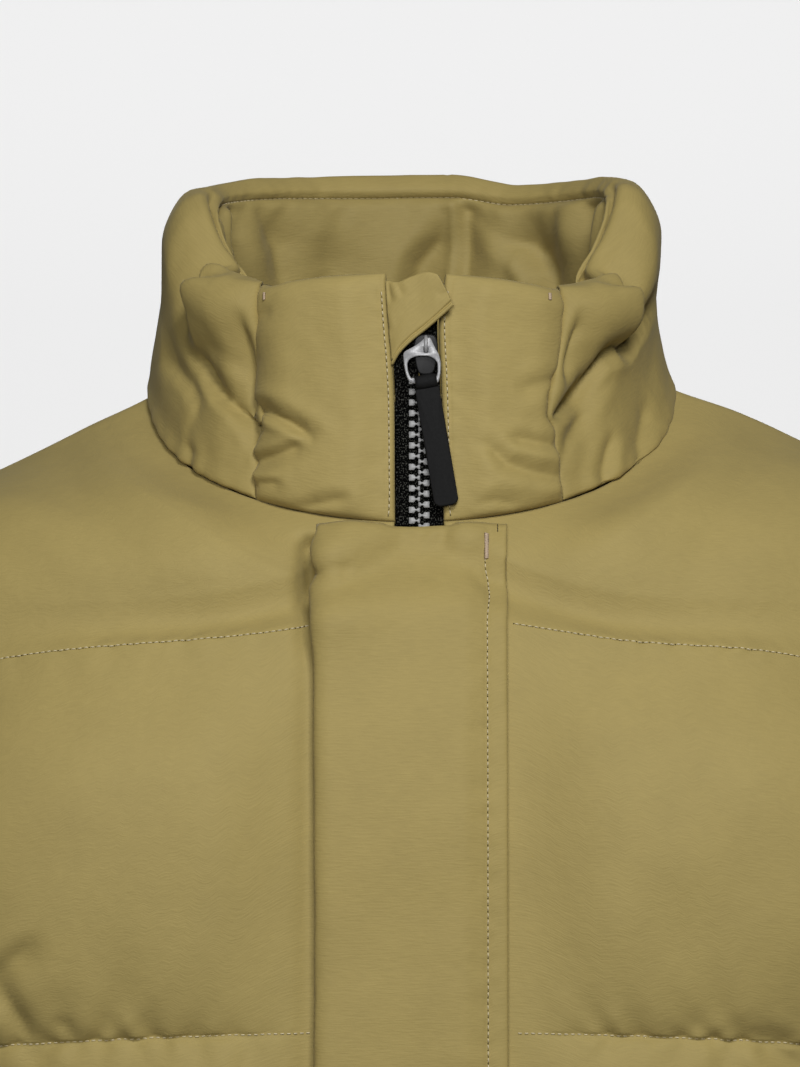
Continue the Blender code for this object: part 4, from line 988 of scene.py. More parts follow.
def collar_point(angle, rise, side):
    """A point of the surface that the collar's seams lie in: above the neckline, leaning in."""
    angle, rise = np.broadcast_arrays(np.asarray(angle, float), np.asarray(rise, float))
    near_seam, near_zip = bell(angle, PANEL_SEAM_ANGLE, 10), bell(angle, 87, 9)
    angle = angle + near_seam * read(SEAM_BOW[side], "turn", rise)
    angle = angle + near_zip * read(ZIP_BOW[side], "turn", rise)
    base = neck_point(angle)
    padded = padded_share(angle)
    share = 1 + (read(LEAN_SHARE, "share", angle) - 1) * ease(0.45, 0.95, rise)
    lean = padded * read(COLLAR_LEAN, "lean", rise) * share
    lean = lean + (1 - padded) * COLLAR_FRONT_LEAN * rise
    point = base + collar_inward(angle) * lean[..., None]
    top = read(COLLAR_TOP[side], "height", angle)
    point[..., 2] = base[..., 2] + (top - base[..., 2]) * rise
    return point


def padded_share(angle):
    """1 round the stand, 0 at the flatter front pieces."""
    return 1 - ease(46, 64, angle)


def collar_inward(angle):
    """Level and square to the neckline; at the front pieces it turns straight back."""
    turn = np.radians(angle)
    return unit(np.stack([-np.cos(turn) * padded_share(angle), np.sin(turn), 0 * turn], axis=-1))


def collar_half(side):
    """Half the stand on the +X side, from the front seam round to the middle of the back, and
    its relief. Its creases are drawn over degrees round the neck and the share of the height."""
    t = np.linspace(0, 1, COLLAR_AROUND)
    angle = PANEL_SEAM_ANGLE - (PANEL_SEAM_ANGLE + 90) * (0.62 * t + 0.38 * t**2)
    run = np.linspace(0, 1, COLLAR_ROWS)
    run = run - 0.6 * np.sin(2 * np.pi * run) / (2 * np.pi)
    out = read(COLLAR_SECTION, "out", run)[None, :]
    rise = read(COLLAR_SECTION, "rise", run)[None, :]
    out = out * (1 - FOOT_SLIM[side] * bell(rise, 0.25, 0.28))
    angle = angle[:, None]
    from_seam = np.radians(PANEL_SEAM_ANGLE - angle) * NECK_HALF_WIDTH
    full = 0.12 + 0.88 * edge_fade(from_seam, 0.03)
    points = collar_point(angle, rise, side)
    angle = angle + 0 * rise
    points = points - collar_inward(angle) * (out * np.where(out > 0, full, 1))[..., None]
    u, v = np.radians(angle) * NECK_HALF_WIDTH, run_length(points, 1)
    up = v / v[:, [int(np.argmax(rise))]] * COLLAR_RUN
    scale = math.radians(1) * NECK_HALF_WIDTH, CREASE_SPAN
    seed = 120 if side == "left" else 140
    relief = creased(u, up, COLLAR_CREASES[side], scale)
    relief = relief + soft_hills(u, up, *STAND_HILLS, seed, shift=0.4)
    relief = relief + pulls(u, v, *FOOT_PULLS, seed + 2)
    relief = relief + pulls(u, v[:, [-1]] - v, *FACING_PULLS, seed + 3)
    edges = ease(0, 0.006, v) * ease(0, 0.004, v[:, [-1]] - v)
    seam = ease(0, 0.01, from_seam) + 0 * rise
    return points, relief * edges * (0.25 + 0.75 * seam) * (from_seam > 1e-6)


def make_collar():
    """The two halves meet at the middle of the back, where their tops are equally high."""
    left, left_relief = collar_half("left")
    right, right_relief = collar_half("right")
    points = np.concatenate([left[:-1], flipped(right)])
    relief = np.concatenate([left_relief[:-1], right_relief[::-1]])
    middle = len(left) - 1
    share = ease(0, 1, np.abs(np.arange(len(points)) - middle) / 30)[:, None]
    relief = relief * share + relief[middle] * (1 - share)
    points = drawn_back(points)
    points = points + grid_normals(points) * relief[..., None]
    return piece_of("collar_stand", points, points - grid_normals(points) * COLLAR_WALL)


collar = make_collar()
print("collar grid:", collar["outer"].shape[:2], "top:", collar["outer"][..., 2].max().round(4))

# %% [markdown]
# The lining is the inside of the stand, from the facing's seam down to the neckline. It is one
# sheet of the same cloth, cut a little too long for its place, so it hangs in soft upright
# folds near the front, and a seam runs down the back, a little to one side of its middle.

# %% Collar lining
LINING_SECTION = table(
    "run out rise",
    (0.0, -0.004, 0.918), (0.08, -0.0056, 0.88), (0.25, -0.0066, 0.74), (0.5, -0.0066, 0.5),
    (0.75, -0.006, 0.26), (0.92, -0.0052, 0.09), (1.0, -0.0046, 0.03),
)
LINING_CREASES = [
    ([(80, 0), (84, 18), (78, 38), (72, 60)], 10, 5.5, (0.8, 0), 0.4),
    ([(96, 4), (100, 26), (96, 50)], 6, 4, (1, 0)),
    ([(62, 6), (52, 22), (50, 50)], 6, 7, (0.6, 0)),
    ([(-20.5, 0), (-20.5, 24), (-19, 50)], 5, 3.6, (1, 1), 0.4),
    ([(34, 16), (30, 34), (34, 60)], 4, 8),
    ([(-14, 10), (-11, 20), (-4, 31), (0, 50)], 8.5, 6.5, (0.3, 1), 0.4),
    ([(-36, 16), (-46, 20), (-53, 32), (-55, 60)], 12, 6.2, (0.2, 1), 0.4),
    ([(-86, 0), (-83, 20), (-74, 42), (-68, 70)], 11, 5.5, (1, 0), -0.4),
    ([(-101, 4), (-105, 30), (-101, 60)], 6, 4.5, (0.8, 0)),
]
LINING_HILLS = ((0.0012, 0.045), (0.0005, 0.018))
LINING_PULLS = (0.012, 0.014, 0.001, 0.0026)
BACK_SEAM = -0.0205
LINING_WALL = 0.001
LINING_CREASE_SCALE = 0.8


def make_lining():
    """The section is carried round as the stand's is, but downwards, so it faces the neck."""
    around = np.linspace(PANEL_SEAM_ANGLE - 1.0, -90, 110)[:, None]
    run = np.linspace(0, 1, 44)
    out = read(LINING_SECTION, "out", run)[None, :]
    rise = read(LINING_SECTION, "rise", run)[None, :]
    halves = []
    for side in ("left", "right"):
        half = collar_point(around, rise, side)
        halves.append(half - collar_inward(around + 0 * rise) * out[..., None])
    points = np.concatenate([halves[0][:-1], flipped(halves[1])])
    u, v = runs(points)
    u = u - u[len(halves[0]) - 1]
    soft = soft_hills(u, v, *LINING_HILLS, 161, shift=0.5) + pulls(u, v, *LINING_PULLS, 163)
    soft = soft + creased(u * LINING_CREASE_SCALE, v, LINING_CREASES)
    off = u - BACK_SEAM + (v - 0.05) ** 2
    seam = 0.0009 * bell(off, 0, 0.0008) - 0.0006 * bell(off, 0.003, 0.0012)
    edges = ease(0, 0.005, v) * ease(0, 0.01, v[:, [-1]] - v)
    points = points + grid_normals(points) * ((soft - seam) * edges)[..., None]
    inner = points - grid_normals(points) * LINING_WALL
    wide, long = run_length(points, 0)[-1], run_length(points, 1)[:, -1]
    size = float(wide.mean()), float(long.mean())
    return piece_of("collar_lining_sheet", points, inner, size=size)


lining = make_lining()
facing = (lining["outer"] * lining["normals"])[..., :2].sum(axis=-1).mean()
print("lining size:", lining["size"], "faces", "in" if facing < 0 else "out")

# %% [markdown]
# The collar's two front pieces are flatter and only lightly padded. Each runs from the stand's
# seam to the zip, where its edge is turned and stitched. They are grids on the collar's own
# surface, puffed as a shallow cushion, with the small creases of the photograph.

# %% Collar front pieces
FRONT_COLLAR_CREASES = {
    "right": [
        ([(-65, -12), (-63, -9.8), (-59, -9), (-52.3, -13.8), (-42.8, -20.3), (-40, -24.5)], 4, 2.4,
          (1, 0), 0.3),
        ([(-64, -31.5), (-56, -28.5), (-50, -25.5), (-43, -22.5)], 3, 2.8, (1, 0), -0.4),
        ([(-67.2, -42.8), (-60, -41.5), (-52.3, -40.2)], 2.2, 2.4, (1, 0), -0.3),
        ([(-47, -53), (-40, -49.5), (-33, -48.2), (-24, -47)], 2, 2.4, (1, 0)),
        ([(-65.5, 33), (-56, 34)], 1, 3, (1, 0)),
    ],
    "left": [
        ([(24.5, -22.8), (31.5, -24.2), (39.3, -32), (48, -35.2), (59, -38)], 2.6, 2.8, (0, 1)),
        ([(38, -20.5), (48, -22.2), (58.5, -24.5)], 2.2, 2.4, (0, 1)),
        ([(57, 5), (48, 1), (42, 1.5)], 1.2, 3, (1, 0)),
        ([(25, -50), (35, -48), (47, -50)], 1.6, 2.6),
    ],
}
FRONT_COLLAR_HILLS = ((0.0007, 0.022), (0.0003, 0.01))
PANEL_SEAM_PULLS = (0.01, 0.008, 0.0008, 0.0022)
ZIP_SIDE_PULLS = (0.012, 0.006, 0.0005, 0.002)
ZIP_PULLS_START = 0.003
FRONT_COLLAR_PUFF = 0.0064
FRONT_COLLAR_WALL = 0.0028
FRONT_COLLAR_GRID = (56, 92)
ZIP_STITCH = 0.0031


def corner_angle(edge):
    """The angle round the neck at which a front's edge meets the neckline."""
    return math.degrees(math.acos(edge / NECK_HALF_WIDTH))


def make_collar_front(side, edge, mirror, seed):
    """A cushion: full in the middle, round at the top, thin at the seams and at the zip."""
    t, s = (np.linspace(0, 1, count) for count in FRONT_COLLAR_GRID)
    corner = corner_angle(edge)
    angle = corner + (PANEL_SEAM_ANGLE - corner) * t
    points = collar_point(angle[:, None], s[None, :], side)
    across, up = runs(points)
    to_seam, to_top = across[-1:] - across, up[:, -1:] - up
    zip_side = 0.35 * edge_fade(across, 0.004) + 0.65 * ease(0.0045, 0.02, across)
    full = zip_side * edge_fade(to_seam, 0.0055) * edge_fade(up, 0.014) * edge_fade(to_top, 0.01)
    soft = soft_hills(across, up, *FRONT_COLLAR_HILLS, seed)
    stitched = -0.0009 * bell(across, ZIP_STITCH, 0.0007)
    x = -points[..., 0] if mirror else points[..., 0]
    lines = creased(x, points[..., 2], FRONT_COLLAR_CREASES[side])
    edge_pulls = pulls(up, to_seam, *PANEL_SEAM_PULLS, seed + 2)
    edge_pulls = edge_pulls + pulls(up, across - ZIP_PULLS_START, *ZIP_SIDE_PULLS, seed + 3)
    inside = ease(0, 0.004, across) * ease(0, 0.003, to_seam) * ease(0, 0.004, up)
    rise = (FRONT_COLLAR_PUFF + soft) * full
    rise = rise + (lines + edge_pulls + stitched) * inside * edge_fade(to_top, 0.008)
    if mirror:
        points, rise = flipped(points), rise[::-1]
    points = drawn_back(points)
    normals = grid_normals(points)
    outer = points + normals * np.maximum(rise, -0.001)[..., None]
    return piece_of(f"collar_front_panel_{side}", outer, points - normals * FRONT_COLLAR_WALL)


collar_front_left = make_collar_front("left", left_edge, False, 181)
collar_front_right = make_collar_front("right", right_edge, True, 191)
print("collar front faces", "out" if collar_front_left["normals"][..., 1].mean() < 0 else "in")

# %% [markdown]
# The storm flap is a narrow padded strip, sewn to the left front and free along its other edge,
# so it stands off the front a little there and throws a soft shadow. Its shape follows the
# fronts under it: the script reads how far forward they lie at each place and lays a shallow
# cushion over that, with the free edge lifted most at the top.

# %% Storm flap
FLAP_TOP = -0.0588
FLAP_FREE = -0.0408
FLAP_SEAM = 0.0405
FLAP_WALL = 0.0032
FLAP_PUFF = 0.0036
FLAP_LIFT = 0.008
FLAP_LIFT_FROM_TOP = 0.024
FLAP_LIFT_SPREAD = 0.026
FLAP_LEAST_LIFT = 0.0013
FLAP_EDGE_BEND = 0.012
FLAP_HILLS = ((0.0009, 0.05), (0.0004, 0.02))
FLAP_TOP_PULLS = (0.0065, 0.007, 0.0011, 0.0019)
FLAP_ROW_PULLS = (0.017, 0.008, 0.0006, 0.0026)
FLAP_SEAM_PULLS = (0.012, 0.006, 0.0005, 0.0022)
FLAP_OFF = 0.0009
FREE_SIDE = 0.045
FLAP_STITCH = 0.0085
FLAP_CREASES = [([(-37.6, -79.9), (-33, -77.5), (-27, -79)], 1.6, 3, (1, 0))]
FLAP_HEM = cad_box[0][2] + 0.0012


def depth_of(front_points, x, z):
    """How far forward a front lies at each width x and height z: read across each row first,
    then up each column."""
    across = np.abs(front_points[..., 0])
    y, up = (
        np.stack([np.interp(x, a, b) for a, b in zip(across.T, front_points[..., k].T)], axis=1)
        for k in (1, 2)
    )
    return np.stack([np.interp(z, high, forward) for high, forward in zip(up, y)])


def under_flap(x, z):
    """The fronts' face at each x and z: the right one's for x below 0, the left one's above."""
    right = front_right["outer"][::-1]
    left = front_left["outer"]
    return np.concatenate([depth_of(right, -x[x < 0], z), depth_of(left, x[x >= 0], z)])


def make_flap():
    """A thin cushion over the fronts, pushed forward along its free edge."""
    s = np.linspace(0, 1, 52)
    s = s - 0.5 * np.sin(2 * np.pi * s) / (2 * np.pi)
    t = np.linspace(0, 1, 300) ** 0.75
    x = FLAP_FREE + (FLAP_SEAM - FLAP_FREE) * s
    z = FLAP_HEM + (FLAP_TOP - FLAP_HEM) * t
    points = np.stack(np.broadcast_arrays(x[:, None], under_flap(x, z), z[None, :]), axis=-1)
    from_top = FLAP_TOP - points[..., 2]
    free_side = 1 - ease(0, FREE_SIDE, points[..., 0] - FLAP_FREE)
    lift = FLAP_LIFT * bell(from_top, FLAP_LIFT_FROM_TOP, FLAP_LIFT_SPREAD) + FLAP_LEAST_LIFT
    waver = 0.0007 * ripple(points[..., 2] / 0.045, 207) - 0.0022 * bell(from_top, 0.0205, 0.0055)
    points[..., 0] -= waver * (1 - ease(0, FLAP_EDGE_BEND, points[..., 0] - FLAP_FREE))
    waver = 0.0009 * ripple(points[..., 0] / 0.013, 209)
    points[..., 2] += waver * (1 - ease(0, FLAP_EDGE_BEND, from_top))
    points[..., 1] -= FLAP_OFF + lift * free_side
    across, up = runs(points)
    to_seam, to_top = across[-1:] - across, up[:, -1:] - up
    full = edge_fade(across, 0.007) * edge_fade(to_top, 0.01) * edge_fade(up, 0.01)
    full = full * (0.25 * edge_fade(to_seam, 0.004) + 0.75 * ease(0.0065, 0.02, to_seam))
    soft = soft_hills(across, up, *FLAP_HILLS, 211)
    top_pulls = pulls(across, to_top, *FLAP_TOP_PULLS, 213)
    row_pulls = pulls(up, to_seam - FLAP_STITCH, *FLAP_ROW_PULLS, 214)
    row_pulls = row_pulls + pulls(up, FLAP_STITCH - to_seam, *FLAP_SEAM_PULLS, 215)
    dent = creased(points[..., 0], points[..., 2], FLAP_CREASES)
    inside = ease(0, 0.003, to_top) * ease(0, 0.003, across) * ease(0, 0.002, to_seam)
    groove = -0.0006 * bell(to_seam, FLAP_STITCH, 0.001)
    rise = (FLAP_PUFF + soft) * full + (top_pulls + row_pulls + dent + groove) * inside
    normals = grid_normals(points)
    outer = points + normals * (FLAP_WALL + np.maximum(rise, -0.0008))[..., None]
    outer[:3] += (points[:3] - outer[:3]) * np.array([0.3, 0.12, 0.03])[:, None, None]
    return piece_of("flap_strip", outer, points, to_seam=to_seam)


flap = make_flap()
print("flap faces", "out" if flap["normals"][..., 1].mean() < 0 else "in")

# %% [markdown]
# The guard is the folded triangle of cloth that covers the zip's top, so that it can't touch the
# chin. It comes from under the right collar front's edge and crosses the zip to a corner that
# stands over the left one. Its slanting free edge is bound with a narrow roll of the same cloth.

# %% Zip guard
GUARD_LOW = table("x z", (-8, 10.4), (-4.8, 16), (10, 29), (18, 36.2), scale=MM)
GUARD_HIGH = table(
    "x z",
    (-10.7, 47.4), (-6.5, 46.6), (0, 49), (6.9, 50.8), (10.8, 50), (12.8, 47.8),
    scale=MM,
)
GUARD_STAND = table(
    "u off",
    (0.0, 0.0003), (0.08, 0.0014), (0.35, 0.0032), (0.55, 0.0042), (0.8, 0.0062), (1.0, 0.0076),
)
GUARD_WALL = 0.0011
GUARD_RIM = 0.002
GUARD_CREASES = [
    ([(-10.2, 48), (-9.2, 42.5), (-8.2, 36.5)], 0.9, 0.9, (1, 0), 0.4),
    ([(-7.2, 48), (-5.2, 44), (-4, 40)], 0.6, 1.2, (1, 0)),
    ([(-10.8, 31), (-9, 25)], 0.6, 1, (1, 0.3)),
    ([(15, 42), (11, 40.5)], 0.4, 1.4, (1, 0)),
]


def guard_grid(count_u, count_v):
    """Straight lines from the slanting edge, v = 0, to the top edge, v = 1, standing further
    off the collar towards the free corner."""
    u = np.linspace(0, 1, count_u)[:, None]
    v = np.linspace(0, 1, count_v)[None, :] ** 1.25
    edges = []
    for edge in (GUARD_LOW, GUARD_HIGH):
        x = edge["x"][0] + (edge["x"][-1] - edge["x"][0]) * u
        edges.append((x, read(edge, "z", x)))
    x, z = (low + (high - low) * v for low, high in zip(*edges))
    angle = np.degrees(np.arccos(np.clip(np.abs(x) / NECK_HALF_WIDTH, 0, 1)))
    foot = neck_point(angle)[..., 2]
    top = read(COLLAR_TOP["left"], "height", angle)
    surface = collar_point(angle, (z - foot) / (top - foot), "left")[..., 1]
    return np.stack([x, surface - read(GUARD_STAND, "off", u), z], axis=-1)


def make_guard():
    """The triangle, with a narrow roll along its slanting edge."""
    points = guard_grid(48, 56)
    across, up = runs(points)
    to_top = up[:, -1:] - up
    roll = np.sqrt(np.clip(1 - ((up - GUARD_RIM / 2) / (GUARD_RIM / 2)) ** 2, 0, 1))
    rise = 0.0009 * roll - 0.001 * bell(up, GUARD_RIM * 1.12, 0.0004)
    rise = rise + 0.0006 * edge_fade(to_top, 0.004) * (up > GUARD_RIM)
    rise = rise + 0.0004 * hills(across, up, 0.008, 221) * ease(0.002, 0.004, up)
    rise = rise + creased(points[..., 0], points[..., 2], GUARD_CREASES) * ease(0.0025, 0.004, up)
    normals = grid_normals(points)
    outer = points + normals * (GUARD_WALL + np.maximum(rise, -0.0006))[..., None]
    return piece_of("guard_fold", outer, points + normals * 0.0002)


guard = make_guard()
print("guard faces", "out" if guard["normals"][..., 1].mean() < 0 else "in")

# %% [markdown]
# The zip is a moulded one: two black woven tapes, each with a column of chunky plastic teeth on
# its inner edge. The tapes are strips that follow the opening from the hem to the collar's top.
# One tooth is a bevelled plate with a broad foot on the tape, a neck and a rounded head, and it
# is set along the line several hundred times.

# %% Zip line and tapes
ZIP_TOP_RISE = 0.93
ZIP_TOP = 0.051
TAPE_DEPTH = 0.0022
TAPE_WALL = 0.0009
TAPE_COLUMNS = 14


def zip_line(count):
    """The opening's line in depth and height, evenly spaced, with its tangents and the
    normals that point forward."""
    levels = np.linspace(0, NECK_FRONT_LEVEL, 200)
    low = torso_point(0.0, levels, True, left_edge)
    high = collar_point(corner_angle(left_edge), np.linspace(0, ZIP_TOP_RISE, 40)[1:], "left")
    line = np.concatenate([low, high])
    line[:, 0] = ZIP_MIDDLE
    run = run_length(line, 0)
    line = sampled(line, run, np.linspace(0, run[-1], count))
    along = unit(np.gradient(line, axis=0))
    forward = np.stack([0 * along[:, 0], -along[:, 2], along[:, 1]], axis=-1)
    return line, along, forward


def make_tape(side, x_edge, x_inner):
    """A strip across from the cloth's edge to the zip's middle, with a corded inner edge."""
    line, _, forward = zip_line(620)
    s = np.linspace(0, 1, TAPE_COLUMNS)[:, None]
    rise = np.clip((line[:, 2] + NECK_DROP_FRONT) / (NECK_DROP_FRONT + ZIP_TOP), 0, 1)
    turn = np.radians(read(ZIP_BOW[side], "turn", rise)) * (rise > 0)
    edge = x_edge - NECK_HALF_WIDTH * turn * np.sign(x_edge)
    cord = 0.0006 * bell((1 - s) * np.abs(x_inner - edge), 0.0012, 0.0007)
    path = line - forward * (TAPE_DEPTH + TAPE_WALL / 2)
    middle = np.repeat(path[None], TAPE_COLUMNS, axis=0)
    middle[..., 0] = edge + (x_inner - edge) * s
    half = forward[None] * (TAPE_WALL / 2 + cord)[..., None]
    front, behind = middle + half, middle - forward[None] * TAPE_WALL / 2
    if x_edge > x_inner:
        front, behind = front[::-1], behind[::-1]
    return add_wall(f"zip_tape_strip_{side}", front, behind)


tape_left = make_tape("left", left_edge - GAP, ZIP_MIDDLE + GAP / 2)
tape_right = make_tape("right", -right_edge + GAP, ZIP_MIDDLE - GAP / 2)
zip_run = float(run_length(zip_line(620)[0], 0)[-1])
print("zip line length:", round(zip_run, 3))

# %% [markdown]
# The hard parts are closed shapes of three kinds. A loft joins loops of points, one after
# another, with a point at each end. A tube is a loft round a path. A pierced plate is a flat
# outline with holes, whose two faces are cut into triangles. Each shape is turned round if its
# signed volume is below zero, so that all its faces look outward.

# %% Small closed shapes


def loft_faces(loops, sides, closed=False):
    """Triangles between loops of points, each loop joined to the next."""
    index = np.arange(loops * sides).reshape(loops, sides)
    if closed:
        index = np.concatenate([index, index[:1]])
    after = np.roll(index, -1, axis=1)
    halves = (index[:-1], after[:-1], after[1:]), (index[:-1], after[1:], index[1:])
    return np.concatenate([np.stack(half, axis=-1).reshape(-1, 3) for half in halves])


def lofted(rings, tips=None):
    """Loops one after another, with a fan to a tip at each end. Without tips the last loop
    joins the first."""
    rings = np.asarray(rings)
    loops, sides = rings.shape[:2]
    points, faces = rings.reshape(-1, 3), loft_faces(loops, sides, tips is None)
    if tips is not None:
        ring, end, tip = np.arange(sides), (loops - 1) * sides, np.full(sides, len(points))
        after = np.roll(ring, -1)
        first = np.stack([after, ring, tip], axis=-1)
        last = np.stack([ring + end, after + end, tip + 1], axis=-1)
        points, faces = np.concatenate([points, tips]), np.concatenate([faces, first, last])
    return points, faces


def tube(path, radius, sides, flat, closed=False):
    """A bar along a path: path + radius * (cos * side + flat * sin * up)."""
    if closed:
        tangent = unit(np.roll(path, -1, axis=0) - np.roll(path, 1, axis=0))
    else:
        tangent = unit(np.gradient(path, axis=0))
    side = unit(np.cross(tangent, [1.0, 0.0, 0.0]))
    up = unit(np.cross(side, tangent))
    turn = np.linspace(0, 2 * np.pi, sides, endpoint=False)[None, :, None]
    ring = side[:, None] * np.cos(turn) + up[:, None] * np.sin(turn) * flat
    return lofted(path[:, None] + ring * radius, None if closed else path[[0, -1]])


def flat_loop(loop, depth):
    """A loop of (x, z) set at a depth."""
    return np.column_stack([loop[:, 0], np.full(len(loop), depth), loop[:, 1]])


def plate(outline, layers):
    """A loft of copies of an outline, each drawn in towards its middle by a length and set at
    a depth. Layers are (inset, depth) from the back to the front."""
    middle = outline.mean(axis=0)
    away = unit(outline - middle)
    rings = [flat_loop(outline - away * inset, depth) for inset, depth in layers]
    return lofted(rings, [[middle[0], layers[end][1], middle[1]] for end in (0, -1)])


def pierced(loops, thick, bevel):
    """A flat plate with holes: the first loop is the outside, the rest are holes and turn with
    the clock. Both faces are drawn in by the bevel, which leaves a bright line at the edge."""
    rings, half = [], thick / 2
    for loop in loops:
        way = unit(np.roll(loop, -1, axis=0) - np.roll(loop, 1, axis=0))
        drawn_in = loop + np.stack([-way[:, 1], way[:, 0]], axis=-1) * bevel
        levels = [(drawn_in, -half), (loop, bevel - half), (loop, half - bevel), (drawn_in, half)]
        rings.append([flat_loop(*level) for level in levels])
    points = np.concatenate([np.concatenate(levels) for levels in rings])
    sizes = [len(loop) for loop in loops]
    starts = np.cumsum([0] + [4 * size for size in sizes])
    flat = [[Vector((x, z, 0)) for x, _, z in levels[0]] for levels in rings]
    cover = np.array(tessellate_polygon(flat))
    ids = np.concatenate([start + np.arange(size) for start, size in zip(starts, sizes)])
    front, behind = ids[cover], (ids + 3 * np.repeat(sizes, sizes))[cover]
    corners = points[front]
    facing = np.cross(corners[:, 1] - corners[:, 0], corners[:, 2] - corners[:, 0])[:, 1]
    front[facing > 0] = front[facing > 0][:, ::-1]
    behind[facing < 0] = behind[facing < 0][:, ::-1]
    walls = [loft_faces(4, size)[:, ::-1] + start for start, size in zip(starts, sizes)]
    return points, np.concatenate([front, behind, *walls])


def outward(points, faces):
    """The same faces, all turned round if the shape's signed volume is below zero."""
    corners = points[faces]
    volume = np.einsum("ij,ij->i", corners[:, 0], np.cross(corners[:, 1], corners[:, 2])).sum()
    return faces if volume > 0 else faces[:, ::-1]


def scattered(shape, places, frames):
    """Copies of one small shape: place + frame * point, for all the places at once."""
    points, faces = shape
    moved = np.einsum("vk,nkj->nvj", points, frames) + places[:, None]
    offsets = np.arange(len(places))[:, None, None] * len(points)
    return moved.reshape(-1, 3), (outward(points, faces)[None] + offsets).reshape(-1, 3)


def joined(name, shapes, smooth=True):
    """One object of several closed shapes."""
    starts = np.cumsum([0] + [len(points) for points, _ in shapes[:-1]])
    points = np.concatenate([points for points, _ in shapes])
    faces = np.concatenate([outward(p, f) + start for (p, f), start in zip(shapes, starts)])
    return add_mesh(name, points, faces, smooth=smooth)


square = np.array([(1.0, 1.0), (-1.0, 1.0), (-1.0, -1.0), (1.0, -1.0)])
print("triangles of a square plate:", len(plate(square, [(0, 0), (0, 1)])[1]))

# %% [markdown]
# The teeth's places, tangents and normals are read off the zip's line at an even pitch, from the
# hem up to the slider. The right column's teeth point to the left and stand half a pitch above
# the left's.

# %% Zip teeth
TOOTH_PITCH = 0.00466
TOOTH_THICK = 0.0021
BEVEL = 0.00022
TOOTH_OUTLINE = MM * np.array([
    (4.45, -1.15), (4.45, 1.15), (4.25, 1.38), (2.3, 1.38), (2.05, 1.15), (1.6, 0.4),
    (1.0, 0.38), (0.4, 1.0), (-0.15, 1.02), (-0.4, 0.8), (-0.4, -0.8), (-0.15, -1.02),
    (0.4, -1.0), (1.0, -0.38), (1.6, -0.4), (2.05, -1.15), (2.3, -1.38), (4.25, -1.38),
])


def make_teeth():
    """Each tooth's frame is across, back and up. The right column is a mirror image of the
    left, so its faces are turned round."""
    points, faces = pierced([TOOTH_OUTLINE], TOOTH_THICK, BEVEL)
    tooth = points - [0, TOOTH_THICK / 2, 0], faces
    line, along, forward = zip_line(4000)
    run = run_length(line, 0)
    stop = float(np.interp(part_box("zip_slider")[0][2] + 0.001, line[:, 2], run))
    columns = []
    for way, shift in ((1.0, 0.0), (-1.0, 0.5)):
        at = (np.arange(int(stop / TOOTH_PITCH)) + 0.3 + shift) * TOOTH_PITCH
        at = at[at < stop - 0.001]
        where, up, out = (sampled(given, run, at) for given in (line, along, forward))
        frames = np.stack([np.tile([way, 0.0, 0.0], (len(at), 1)), -out, up], axis=1)
        columns.append(scattered(tooth, where - out * (TAPE_DEPTH - 0.0003), frames))
    (left, left_faces), (right, right_faces) = columns
    faces = np.concatenate([left_faces, right_faces[:, ::-1] + len(left)])
    print("teeth:", (len(left) + len(right)) // len(points))
    return add_mesh("zip_teeth_columns", np.concatenate([left, right]), faces, smooth=False)


teeth = make_teeth()

# %% [markdown]
# The slider is a small shield of coated metal with an arch on its face. A bell-shaped ring
# hangs from the arch, and a soft black tab hangs from the ring by a loop. The ring and the tab
# swing in the frame, so each is built round its own joint, at the joint's place and tilt.

# %% Slider, ring and tab
HINGE = np.array([0.006, -0.10318, 0.0195])
FOOT = np.array([0.006, -0.10458, 0.00346])
PULL_TILT = math.radians(5.0)
TAB_LEAN = math.radians(9.6)
RING_THICK = 0.0014
SHIELD_FRONT = 0.005
SHIELD_LAYERS = [
    (0.0006, 0.0038), (0.0001, 0.0034), (0, 0.003), (0, 0.0004), (0.0002, 0.0001), (0.0008, 0.0),
]
RING_OUTLINE = table(
    "z left right",
    (3, 0.4, 1.8), (1.8, 1.6, 2.5), (0.2, 3.6, 3.2), (-1.4, 6.2, 4), (-2.6, 8.4, 4.6),
    (-3.4, 9.4, 5.1), (-4.4, 9.7, 5.6), (-8.7, 9.4, 6.4), (-12, 8.8, 6.3), (-15, 7.8, 5.8),
    (-16.3, 6.8, 5.2), (-16.9, 5, 4),
    scale=MM,
)
RING_HOLE = table(
    "z left right",
    (-4.9, 2.8, 0.6), (-5.4, 5.2, 2.2), (-6.6, 7.2, 4), (-8.5, 8, 5), (-11, 7.8, 5.1),
    (-13.5, 7, 4.7), (-14.8, 6.2, 4.2), (-15.3, 4.8, 3.4),
    scale=MM,
)
RING_SLOT = table(
    "z left right",
    (-0.9, 0.5, 0.5), (-1.3, 1, 1), (-3.3, 1, 1), (-3.7, 0.5, 0.5),
    scale=MM,
)
TAB_HALF_WIDTH = 0.0053
TAB_LENGTH = 0.0545
TAB_CORNER = 0.003
TAB_SHOULDER = 0.0011


def turned(a, b, angle):
    """Two coordinates after a turn in their plane."""
    return a * math.cos(angle) - b * math.sin(angle), a * math.sin(angle) + b * math.cos(angle)


def tilted(points, origin, lean=0.0):
    """Turned sideways by the lean, then forward at the foot by the tilt, and set at a place."""
    x, y, z = points.T
    x, z = turned(x, z, lean)
    z, y = turned(z, y, PULL_TILT)
    return np.stack([x, y, z], axis=-1) + origin


